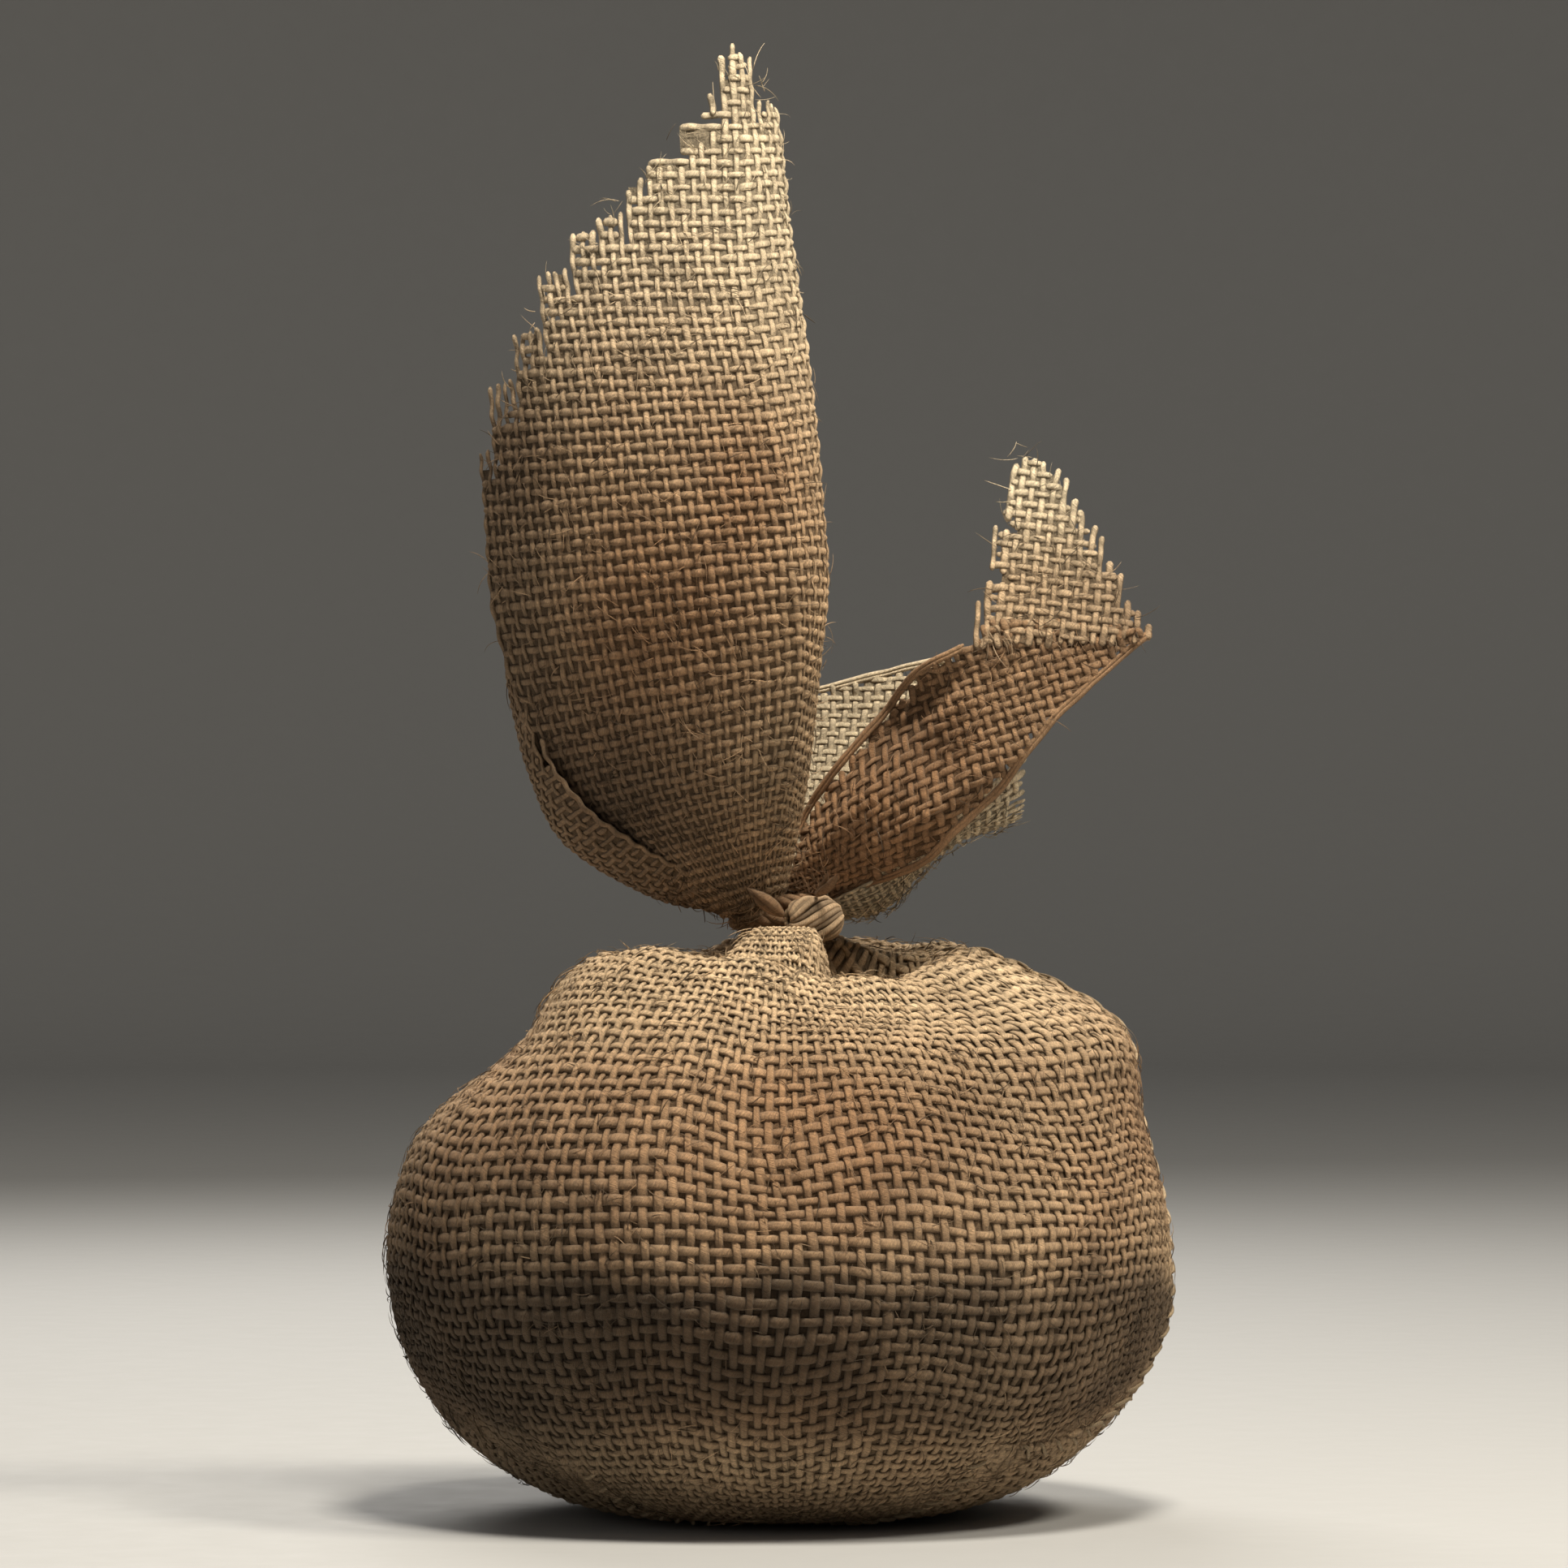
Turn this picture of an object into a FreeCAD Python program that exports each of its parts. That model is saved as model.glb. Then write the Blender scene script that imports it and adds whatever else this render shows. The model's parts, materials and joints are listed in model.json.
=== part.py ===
"""A jute race sack, filled, gathered at the neck and tied with a cord.

The sack stands on the XY plane with its resting face centred on the origin, +Z up and its
front towards -Y. All sizes are millimetres and live in the Dimensions spreadsheet.
"""

import FreeCAD, Part

import math
import os

import Sketcher
from FreeCAD import Placement, Rotation, Vector

OUT_DIR = "parts"
ORIGIN = -1  # the sketch origin's geometry index; the vertical axis is -2
V_AXIS = -2
START, END, CENTRE = 1, 2, 3

# --- driving dimensions ---------------------------------------------------------------

SACK_SIZES = {
    "cloth": 3.0,  # thickness of the jute cloth, weave relief included
    "fill_gap": 0.6,  # slack between cloth and filling
    "base_radius": 64.0,  # the flat the filled sack settles on
    "side_radius": 125.0,  # lower side, from the floor up to the belly
    "shoulder_radius": 170.0,  # upper side, from the belly to the crown
    "crown_radius": 30.0,  # roll of cloth round the sunken neck
    "crown_height": 277.0,
    "crater_radius": 14.0,  # hollow between the crown and the neck
    "crater_floor": 250.0,
    "neck_hole_radius": 27.0,
}

NECK_SIZES = {
    "neck_core_radius": 14.0,  # gathered cloth under the cord
    "pleat_radius": 3.2,
    "pleat_circle": 13.6,
    "pleat_count": 12,
    "neck_low": 249.0,
    "neck_top": 299.0,
    "collar_low": 301.0,  # cloth flaring out above the cord
    "collar_rise": 7.0,
    "collar_throat": 13.0,
    "collar_flare": 10.0,
}

CORD_SIZES = {
    "cord_diameter": 7.5,
    "coil_turns": 2,
    "coil_pitch": 7.9,
    "coil_low": 280.5,
    "coil_slack": 0.3,
    "knot_azimuth": -62.0,  # where the ends meet, from +X
    "knot_reach": 33.5,
    "knot_height": 288.0,
    "knot_spread": 4.5,  # each bight's offset to its own side
    "knot_turn": 27.0,  # how far each bight turns towards the other
    "knot_loop": 5.6,
    "knot_rope": 3.7,
    "tail_length": 19.0,
    "tail_radius": 3.1,
}

SEAM_SIZES = {
    "thread_diameter": 2.4,
    "stitch_length": 9.0,
    "stitch_pitch": 14.0,
    "side_seam_azimuth": 8.0,  # the sewn side, from +X
    "seam_start": 45.0,  # lowest side stitch, as an angle round the lower side
    "seam_end": 56.0,  # highest side stitch, as an angle round the shoulder
    "seam_slant": 28.0,  # of a side stitch, from the seam line
    "bottom_seam_setback": 50.0,  # the bottom seam runs across the base, this far to the front
    "bottom_seam_length": 72.0,
    "seam_cover": 0.2,  # cloth under the bottom stitches
}

# The cord ends: a tail's foot and tip as shares of its radius, and how far along it is widest.
TAIL_FOOT, TAIL_TIP, TAIL_WIDEST = 0.55, 0.2, 0.5
# Where each tail leaves the knot, and the way it points.
TAILS = {
    "cord_tail_left": ((2.2, -37.0, 289.5), (-0.62, -0.12, 0.55)),
    "cord_tail_right": ((17.5, -37.2, 299.0), (0.35, -0.65, 0.45)),
}

# Each flap is a curved sheet lofted through level crescents. A row is the section's height
# above the hinge, its sideways shift, how far its crown stands out, its width and the
# depth of its curve. yaw turns the outward side from -Y; lean tips the sheet outward.
FLAPS = {
    "front_flap": {
        "hinge": (-4.0, -26.0, 310.0),
        "yaw": 0.0,
        "lean": 0.0,
        "sections": [
            (0, -6, 0, 36, 6),
            (27, -35, 28, 94, 22),
            (92, -48, 52, 142, 40),
            (162, -55, 62, 164, 50),
            (242, -54, 58, 145, 44),
            (322, -36, 40, 88, 22),
            (400, -17, 18, 12, 2),
        ],
    },
    "left_flap": {
        "hinge": (-27.0, 8.0, 304.0),
        "yaw": -90.0,
        "lean": 43.0,
        "sections": [
            (0, 0, 0, 14, 2),
            (24, -2, 23, 40, 9),
            (66, -4, 41, 64, 16),
            (99, -4, 32, 64, 16),
            (132, 0, 15, 48, 10),
            (153, 4, 0, 20, 3),
        ],
    },
    "right_flap": {
        "hinge": (21.0, -19.0, 309.5),
        "yaw": 0.0,
        "lean": 0.0,
        "sections": [
            (0, 0, 0, 15, 2),
            (14, 22, 10, 60, 7),
            (38, 38, 20, 82, 11),
            (60, 55, 26, 90, 13),
            (80, 73, 28, 87, 13),
            (100, 92, 28, 88, 11),
            (117, 115, 27, 76, 2.5),
        ],
    },
    "right_flap_corner": {
        "hinge": (136.0, -42.5, 426.5),
        "yaw": 0.0,
        "lean": -8.0,
        "sections": [
            (2.5, 1, 1.5, 75, 1.5),
            (28, -5, 3, 62, 5),
            (54, -9, 4, 47, 6),
            (74, -13, 3, 28, 4),
            (94, -22, 1, 6, 1),
        ],
    },
    "rear_flap": {
        "hinge": (2.0, 26.0, 310.0),
        "yaw": 180.0,
        "lean": 0.0,
        "sections": [
            (0, 0, 0, 16, 2),
            (27, -3, 22, 86, 20),
            (62, -8, 40, 140, 34),
            (92, -15, 46, 148, 34),
            (110, -30, 44, 96, 14),
        ],
    },
    "rear_right_flap": {
        "hinge": (27.0, 6.0, 304.0),
        "yaw": 90.0,
        "lean": 50.0,
        "sections": [
            (0, 0, 0, 13, 2),
            (22, 10, 17, 40, 8),
            (66, 20, 20, 66, 16),
            (100, 20, 14, 62, 15),
            (130, 16, 0, 30, 4),
        ],
    },
}
SECTION_FIELDS = ("height", "shift", "out", "width", "curve")
HINGE_FIELDS = ("hinge_x", "hinge_y", "hinge_z", "yaw", "lean")


def flap_sizes():
    """The flaps' numbers as one flat set of named sizes."""
    sizes = {}
    for name, flap in FLAPS.items():
        for field, value in zip(HINGE_FIELDS, (*flap["hinge"], flap["yaw"], flap["lean"])):
            sizes[f"{name}_{field}"] = value
        for k, row in enumerate(flap["sections"], start=1):
            for field, value in zip(SECTION_FIELDS, row):
                sizes[f"{name}_{field}_{k}"] = value
    return sizes


# --- document, sheet and small helpers ------------------------------------------------


def make_sheet(doc):
    """Writes every size to a row of the Dimensions sheet, with its name as the alias."""
    sheet = doc.addObject("Spreadsheet::Sheet", "Dimensions")
    sizes = {**SACK_SIZES, **NECK_SIZES, **CORD_SIZES, **SEAM_SIZES, **flap_sizes()}
    for row, (alias, value) in enumerate(sizes.items(), start=1):
        sheet.set(f"A{row}", alias)
        sheet.set(f"B{row}", str(value))
        sheet.setAlias(f"B{row}", alias)
    doc.recompute()
    return sheet


class Model:
    """The document with its sheet, and the sub-parts made so far."""

    def __init__(self):
        self.doc = FreeCAD.newDocument("race_sack")
        self.sheet = make_sheet(self.doc)
        self.nodes = []

    def size(self, alias):
        return float(self.sheet.get(alias))

    def cell(self, alias):
        return f"Dimensions.{alias}"

    def body(self, label):
        body = self.doc.addObject("PartDesign::Body", "Body_" + label)
        body.Label = label
        self.nodes.append(body)
        return body

    def keep(self, thing, label):
        thing.Label = label
        self.nodes.append(thing)
        return thing


def origin_plane(body, role):
    return next(f for f in body.Origin.OriginFeatures if f.Role == role)


def new_sketch(body, name, role="XY_Plane", height=None):
    """A sketch on one of the body's own origin planes, raised by an expression if given."""
    sketch = body.newObject("Sketcher::SketchObject", name)
    sketch.AttachmentSupport = [(origin_plane(body, role), "")]
    sketch.MapMode = "FlatFace"
    if height:
        sketch.setExpression("AttachmentOffset.Base.z", height)
    return sketch


def bind(sketch, kind, *where, to):
    """Adds a driving constraint and binds its value to an expression."""
    value = sketch.evalExpression(to)
    value = float(getattr(value, "Value", value))
    index = sketch.addConstraint(Sketcher.Constraint(kind, *where, value))
    sketch.setExpression(f"Constraints[{index}]", to)
    return index


def arc(centre, radius, start_deg, end_deg):
    circle = Part.Circle(Vector(*centre, 0), Vector(0, 0, 1), radius)
    return Part.ArcOfCircle(circle, math.radians(start_deg), math.radians(end_deg))


def line(a, b):
    return Part.LineSegment(Vector(*a, 0), Vector(*b, 0))


# --- sack body and filling ------------------------------------------------------------


def sack_profile(model, body, name, inset_expression, inset):
    """Half section of the full sack, inset from its outer face.

    Tangent arcs run from the floor over the belly, shoulder and crown into the crater, and
    a level line closes the crater. Returns the sketch.
    """
    s = model.size
    side_c = (s("base_radius"), s("side_radius"))
    belly = s("base_radius") + s("side_radius")
    shoulder_c = (belly - s("shoulder_radius"), s("side_radius"))
    reach = s("shoulder_radius") - s("crown_radius")
    rise = s("crown_height") - s("crown_radius") - s("side_radius")
    top_angle = math.degrees(math.asin(rise / reach))
    crown_c = (
        shoulder_c[0] + reach * math.cos(math.radians(top_angle)),
        shoulder_c[1] + rise,
    )
    span = s("crown_radius") + s("crater_radius")
    crater_z = s("crater_floor") + s("crater_radius")
    drop_angle = 180 - math.degrees(math.asin((crater_z - crown_c[1]) / span))
    crater_c = (crown_c[0] + span * math.cos(math.radians(drop_angle)), crater_z)
    floor_z = s("crater_floor") - inset

    sketch = new_sketch(body, name, "XZ_Plane")
    base, side, shoulder, crown, crater, top, axis = sketch.addGeometry(
        [
            line((0, inset), (side_c[0], inset)),
            arc(side_c, s("side_radius") - inset, -90, 0),
            arc(shoulder_c, s("shoulder_radius") - inset, 0, top_angle),
            arc(crown_c, s("crown_radius") - inset, top_angle, drop_angle),
            arc(crater_c, s("crater_radius") + inset, -90, drop_angle - 180),
            line((crater_c[0], floor_z), (0, floor_z)),
            line((0, floor_z), (0, inset)),
        ],
        False,
    )
    for kind, *where in (
        ("Tangent", base, END, side, START),
        ("Tangent", side, END, shoulder, START),
        ("Tangent", shoulder, END, crown, START),
        ("Tangent", crown, END, crater, END),
        ("Tangent", crater, START, top, START),
        ("Coincident", top, END, axis, START),
        ("Coincident", axis, END, base, START),
        ("PointOnObject", axis, START, V_AXIS),
        ("PointOnObject", axis, END, V_AXIS),
        ("Horizontal", base),
        ("Horizontal", side, CENTRE, shoulder, CENTRE),
    ):
        sketch.addConstraint(Sketcher.Constraint(kind, *where))
    cell = model.cell
    deeper = f"{cell('side_radius')} - ({inset_expression})"
    bind(sketch, "DistanceX", base, START, base, END, to=cell("base_radius"))
    bind(sketch, "Radius", side, to=deeper)
    bind(sketch, "DistanceY", ORIGIN, START, side, CENTRE, to=cell("side_radius"))
    bind(sketch, "Radius", shoulder, to=f"{cell('shoulder_radius')} - ({inset_expression})")
    bind(sketch, "Radius", crown, to=f"{cell('crown_radius')} - ({inset_expression})")
    bind(
        sketch, "DistanceY", ORIGIN, START, crown, CENTRE,
        to=f"{cell('crown_height')} - {cell('crown_radius')}",
    )
    bind(sketch, "Radius", crater, to=f"{cell('crater_radius')} + {inset_expression}")
    bind(
        sketch, "DistanceY", ORIGIN, START, crater, CENTRE,
        to=f"{cell('crater_floor')} + {cell('crater_radius')}",
    )
    return sketch


def revolve(body, kind, name, sketch):
    feature = body.newObject(kind, name)
    feature.Profile = sketch
    feature.ReferenceAxis = (sketch, ["V_Axis"])
    feature.Angle = 360.0
    return feature


def make_sack_body(model):
    """The cloth shell, open at the neck."""
    body = model.body("sack_body")
    outer = sack_profile(model, body, "outer_profile", "0", 0.0)
    revolve(body, "PartDesign::Revolution", "outer_skin", outer)
    inner = sack_profile(model, body, "inner_profile", model.cell("cloth"), model.size("cloth"))
    revolve(body, "PartDesign::Groove", "inside", inner)
    mouth = new_sketch(body, "mouth_circle", "XY_Plane", model.cell("crater_floor"))
    ring = mouth.addGeometry(
        Part.Circle(Vector(0, 0, 0), Vector(0, 0, 1), model.size("neck_hole_radius")), False
    )
    mouth.addConstraint(Sketcher.Constraint("Coincident", ring, CENTRE, ORIGIN, START))
    bind(mouth, "Radius", ring, to=model.cell("neck_hole_radius"))
    model.doc.recompute()
    closed = body.Shape.Volume
    hole = body.newObject("PartDesign::Pocket", "neck_hole")
    hole.Profile = mouth
    hole.setExpression("Length", f"2 * {model.cell('cloth')}")
    model.doc.recompute()
    if body.Shape.Volume >= closed:
        raise RuntimeError("the neck hole cut nothing")


def make_filling(model):
    """The packed filling, just inside the cloth."""
    body = model.body("filling")
    inset = model.size("cloth") + model.size("fill_gap")
    expression = f"{model.cell('cloth')} + {model.cell('fill_gap')}"
    profile = sack_profile(model, body, "fill_profile", expression, inset)
    revolve(body, "PartDesign::Revolution", "fill", profile)


# --- seams ----------------------------------------------------------------------------


def stitch(model, centre, along):
    """One stitch: a bar of thread with round ends, half sunk in the cloth."""
    radius = model.size("thread_diameter") / 2
    length = model.size("stitch_length")
    start = centre - along * (length / 2)
    bar = Part.makeCylinder(radius, length, start, along)
    ends = [Part.makeSphere(radius, p) for p in (start, start + along * length)]
    return bar.fuse(ends).removeSplitter()


def make_side_seam(model):
    """Stitches up the sewn side, slanted across the seam line."""
    s = model.size
    belly = s("base_radius") + s("side_radius")
    turn = Rotation(Vector(0, 0, 1), s("side_seam_azimuth"))
    slant = math.radians(s("seam_slant"))
    stitches = []
    for centre_r, radius, first, last in (
        (s("base_radius"), s("side_radius"), s("seam_start") - 90, 0.0),
        (belly - s("shoulder_radius"), s("shoulder_radius"), 0.0, s("seam_end")),
    ):
        step = math.degrees(s("stitch_pitch") / radius)
        angle = first + step / 2
        while angle < last:
            a = math.radians(angle)
            out = Vector(math.cos(a), 0, math.sin(a))
            up = Vector(-math.sin(a), 0, math.cos(a))
            along = up * math.cos(slant) + Vector(0, 1, 0) * math.sin(slant)
            centre = Vector(centre_r, 0, s("side_radius")) + out * radius
            stitches.append(stitch(model, turn.multVec(centre), turn.multVec(along)))
            angle += step
    seam = model.keep(model.doc.addObject("Part::Feature", "SideSeam"), "side_seam_thread")
    seam.Shape = Part.Compound(stitches)


def make_bottom_seam(model):
    """Stitches along the folded bottom, held within the cloth so that the base stays flat."""
    s = model.size
    across = Vector(1, 0, 0)
    count = int(s("bottom_seam_length") / s("stitch_pitch"))
    height = s("thread_diameter") / 2 + s("seam_cover")
    stitches = []
    for k in range(count):
        x = (k - (count - 1) / 2) * s("stitch_pitch")
        stitches.append(stitch(model, Vector(x, -s("bottom_seam_setback"), height), across))
    seam = model.keep(model.doc.addObject("Part::Feature", "BottomSeam"), "bottom_seam_thread")
    seam.Shape = Part.Compound(stitches)


# --- neck and collar ------------------------------------------------------------------


def pad_circle(model, body, name, centre_x, radius, height):
    """A round bar from the foot of the neck, its centre on the X axis."""
    sketch = new_sketch(body, name + "_sketch", "XY_Plane", model.cell("neck_low"))
    x = model.size(centre_x) if centre_x else 0.0
    circle = Part.Circle(Vector(x, 0, 0), Vector(0, 0, 1), model.size(radius))
    ring = sketch.addGeometry(circle, False)
    if centre_x:
        sketch.addConstraint(Sketcher.Constraint("PointOnObject", ring, CENTRE, ORIGIN))
        bind(sketch, "DistanceX", ORIGIN, START, ring, CENTRE, to=model.cell(centre_x))
    else:
        sketch.addConstraint(Sketcher.Constraint("Coincident", ring, CENTRE, ORIGIN, START))
    bind(sketch, "Radius", ring, to=model.cell(radius))
    pad = body.newObject("PartDesign::Pad", name)
    pad.Profile = sketch
    pad.setExpression("Length", height)
    return pad


def make_neck(model):
    """The pleated cloth that the cord grips."""
    body = model.body("neck_gather")
    height = f"{model.cell('neck_top')} - {model.cell('neck_low')}"
    pad_circle(model, body, "core", None, "neck_core_radius", height)
    pleat = pad_circle(model, body, "pleat", "pleat_circle", "pleat_radius", height)
    model.doc.recompute()
    one_pleat = body.Shape.Volume
    pattern = body.newObject("PartDesign::PolarPattern", "pleats")
    pattern.Originals = [pleat]
    pattern.Axis = (origin_plane(body, "Z_Axis"), [""])
    pattern.Angle = 360.0
    pattern.Occurrences = int(model.size("pleat_count"))
    body.Tip = pattern
    model.doc.recompute()
    if body.Shape.Volume <= one_pleat:
        raise RuntimeError("the pleat pattern added nothing")


def make_collar(model):
    """The short flare of gathered cloth above the cord, where the flaps begin."""
    s = model.size
    body = model.body("frill_collar")
    sketch = new_sketch(body, "collar_profile", "XZ_Plane")
    low, rise = s("collar_low"), s("collar_rise")
    throat, flare, cloth = s("collar_throat"), s("collar_flare"), s("cloth")
    wall = [
        (0, low),
        (throat, low),
        (throat + flare, low + rise),
        (throat + flare - cloth, low + rise),
        (throat - cloth, low + cloth),
        (0, low + cloth),
    ]
    count = len(wall)
    sides = sketch.addGeometry([line(wall[k], wall[(k + 1) % count]) for k in range(count)], False)
    for k in range(count):
        joined = (sides[k], END, sides[(k + 1) % count], START)
        sketch.addConstraint(Sketcher.Constraint("Coincident", *joined))
    for level in (0, 2, 4):
        sketch.addConstraint(Sketcher.Constraint("Horizontal", sides[level]))
    sketch.addConstraint(Sketcher.Constraint("Parallel", sides[1], sides[3]))
    sketch.addConstraint(Sketcher.Constraint("PointOnObject", sides[0], START, V_AXIS))
    sketch.addConstraint(Sketcher.Constraint("Vertical", sides[5]))
    cell = model.cell
    bind(sketch, "DistanceY", ORIGIN, START, sides[0], START, to=cell("collar_low"))
    bind(sketch, "DistanceX", sides[0], START, sides[0], END, to=cell("collar_throat"))
    bind(sketch, "DistanceX", sides[1], START, sides[1], END, to=cell("collar_flare"))
    bind(sketch, "DistanceY", sides[1], START, sides[1], END, to=cell("collar_rise"))
    bind(sketch, "DistanceX", sides[2], END, sides[2], START, to=cell("cloth"))
    bind(sketch, "DistanceY", sides[5], END, sides[5], START, to=cell("cloth"))
    revolve(body, "PartDesign::Revolution", "collar", sketch)


# --- cord -----------------------------------------------------------------------------


def make_coil(model):
    """Two turns of cord round the neck."""
    s, cell = model.size, model.cell
    body = model.body("tie_cord_wraps")
    sketch = new_sketch(body, "cord_section", "XZ_Plane")
    reach = s("pleat_circle") + s("pleat_radius") + s("coil_slack") + s("cord_diameter") / 2
    circle = Part.Circle(Vector(reach, s("coil_low"), 0), Vector(0, 0, 1), s("cord_diameter") / 2)
    ring = sketch.addGeometry(circle, False)
    bind(sketch, "Diameter", ring, to=cell("cord_diameter"))
    bind(
        sketch, "DistanceX", ORIGIN, START, ring, CENTRE,
        to=f"{cell('pleat_circle')} + {cell('pleat_radius')} + {cell('coil_slack')}"
        f" + {cell('cord_diameter')} / 2",
    )
    bind(sketch, "DistanceY", ORIGIN, START, ring, CENTRE, to=cell("coil_low"))
    coil = body.newObject("PartDesign::AdditiveHelix", "coil")
    coil.Profile = sketch
    coil.ReferenceAxis = (sketch, ["V_Axis"])
    coil.Mode = 0  # pitch and height
    coil.setExpression("Pitch", cell("coil_pitch"))
    coil.setExpression("Height", f"{cell('coil_pitch')} * {cell('coil_turns')}")
    body.setExpression(
        "Placement",
        f"create(<<placement>>; create(<<vector>>; 0; 0; 0);"
        f" create(<<rotation>>; {cell('knot_azimuth')}; 0; 0))",
    )


def make_knot(model):
    """The knot: two bights locked through each other where the coil's ends meet."""
    doc = model.doc
    at = {name: model.cell("knot_" + name) for name in ("azimuth", "reach", "height", "spread")}
    turn = f"{at['azimuth']} * 1 deg"
    loops = []
    for name, sign in (("KnotLeft", "-"), ("KnotRight", "+")):
        loop = doc.addObject("Part::Torus", name)
        loop.setExpression("Radius1", model.cell("knot_loop"))
        loop.setExpression("Radius2", model.cell("knot_rope"))
        loop.setExpression(
            "Placement",
            f"create(<<placement>>; create(<<vector>>;"
            f" {at['reach']} * cos({turn}) {sign} -1 * {at['spread']} * sin({turn});"
            f" {at['reach']} * sin({turn}) {sign} {at['spread']} * cos({turn});"
            f" {at['height']}); create(<<rotation>>;"
            f" {at['azimuth']}; 90; 0 {sign} {model.cell('knot_turn')}))",
        )
        loops.append(loop)
    knot = doc.addObject("Part::Fuse", "Knot")
    knot.Base, knot.Tool = loops
    model.keep(knot, "tie_knot")


def make_tail(model, label, root, direction):
    """A short cord end, swollen in the middle and pointed where its strands have opened."""
    s, cell = model.size, model.cell
    body = model.body(label)
    sketch = new_sketch(body, "tail_profile", "XZ_Plane")
    length, radius = s("tail_length"), s("tail_radius")
    foot, tip = radius * TAIL_FOOT, radius * TAIL_TIP
    outline = [(0, 0), (foot, 0), (radius, length * TAIL_WIDEST), (tip, length), (0, length)]
    count = len(outline)
    sides = sketch.addGeometry(
        [line(outline[k], outline[(k + 1) % count]) for k in range(count)], False
    )
    for k in range(count):
        joined = (sides[k], END, sides[(k + 1) % count], START)
        sketch.addConstraint(Sketcher.Constraint("Coincident", *joined))
    sketch.addConstraint(Sketcher.Constraint("Coincident", sides[0], START, ORIGIN, START))
    sketch.addConstraint(Sketcher.Constraint("Horizontal", sides[0]))
    sketch.addConstraint(Sketcher.Constraint("Horizontal", sides[3]))
    sketch.addConstraint(Sketcher.Constraint("Vertical", sides[4]))
    radius_cell, length_cell = cell("tail_radius"), cell("tail_length")
    bind(sketch, "DistanceX", sides[0], START, sides[0], END, to=f"{radius_cell} * {TAIL_FOOT}")
    bind(sketch, "DistanceX", ORIGIN, START, sides[1], END, to=radius_cell)
    bind(sketch, "DistanceY", ORIGIN, START, sides[1], END, to=f"{length_cell} * {TAIL_WIDEST}")
    bind(sketch, "DistanceX", ORIGIN, START, sides[2], END, to=f"{radius_cell} * {TAIL_TIP}")
    bind(sketch, "DistanceY", ORIGIN, START, sides[2], END, to=length_cell)
    revolve(body, "PartDesign::Revolution", "tail", sketch)
    body.Placement = Placement(Vector(*root), Rotation(Vector(0, 0, 1), Vector(*direction)))


def make_tails(model):
    """Both cord ends leave the knot on its left and point up in front of the collar."""
    for label, (root, direction) in TAILS.items():
        make_tail(model, label, root, direction)


# --- flaps ----------------------------------------------------------------------------


def crescent(model, body, flap, k):
    """Section k of a flap: two concentric arcs, a cloth thickness apart, with radial ends."""
    s = model.size
    key = {field: f"{flap}_{field}_{k}" for field in SECTION_FIELDS}
    width, curve = s(key["width"]), s(key["curve"])
    radius = (width * width / 4 + curve * curve) / (2 * curve)
    centre = (s(key["shift"]), radius - s(key["out"]))
    half = math.degrees(math.asin(width / 2 / radius))
    inner_radius = radius - s("cloth")

    def rim(r, degrees):
        a = math.radians(degrees)
        return (centre[0] + r * math.cos(a), centre[1] + r * math.sin(a))

    low, high = -90 - half, -90 + half
    sketch = new_sketch(body, f"section_{k}", "XY_Plane", model.cell(key["height"]))
    outer, inner, left, right = sketch.addGeometry(
        [
            arc(centre, radius, low, high),
            arc(centre, inner_radius, low, high),
            line(rim(radius, low), rim(inner_radius, low)),
            line(rim(radius, high), rim(inner_radius, high)),
        ],
        False,
    )
    for kind, *where in (
        ("Coincident", outer, CENTRE, inner, CENTRE),
        ("Coincident", outer, START, left, START),
        ("Coincident", inner, START, left, END),
        ("Coincident", outer, END, right, START),
        ("Coincident", inner, END, right, END),
        ("Horizontal", outer, START, outer, END),
        ("Horizontal", inner, START, inner, END),
        ("PointOnObject", outer, CENTRE, left),
    ):
        sketch.addConstraint(Sketcher.Constraint(kind, *where))
    cell = model.cell
    w, c = cell(key["width"]), cell(key["curve"])
    arc_radius = f"({w} * {w} / 4 + {c} * {c}) / (2 * {c})"
    bind(sketch, "Radius", outer, to=arc_radius)
    bind(sketch, "Radius", inner, to=f"{arc_radius} - {cell('cloth')}")
    bind(sketch, "DistanceX", ORIGIN, START, outer, CENTRE, to=cell(key["shift"]))
    bind(sketch, "DistanceY", ORIGIN, START, outer, CENTRE, to=f"{arc_radius} - {cell(key['out'])}")
    bind(sketch, "DistanceX", outer, START, outer, END, to=w)
    return sketch


def make_flap(model, name):
    """One torn flap of the sack's mouth, lofted from its root at the collar to its tip."""
    body = model.body(name)
    count = len(FLAPS[name]["sections"])
    sections = [crescent(model, body, name, k) for k in range(1, count + 1)]
    loft = body.newObject("PartDesign::AdditiveLoft", "sheet")
    loft.Profile = sections[0]
    loft.Sections = sections[1:]
    loft.Ruled = False
    at = {field: model.cell(f"{name}_{field}") for field in HINGE_FIELDS}
    body.setExpression(
        "Placement",
        f"create(<<placement>>; create(<<vector>>; {at['hinge_x']}; {at['hinge_y']};"
        f" {at['hinge_z']}); create(<<rotation>>; {at['yaw']}; 0; {at['lean']}))",
    )


# --- build and export -----------------------------------------------------------------


def check(model):
    """Stops if any feature failed or any sub-part isn't made of valid closed solids."""
    for thing in model.doc.Objects:
        if "Invalid" in thing.State or "Error" in thing.State:
            raise RuntimeError(f"{thing.Label} failed: {thing.State}")
    for node in model.nodes:
        shape = node.Shape
        if shape.isNull() or not shape.isValid() or not shape.Solids:
            raise RuntimeError(f"{node.Label} has no valid solid")


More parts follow.
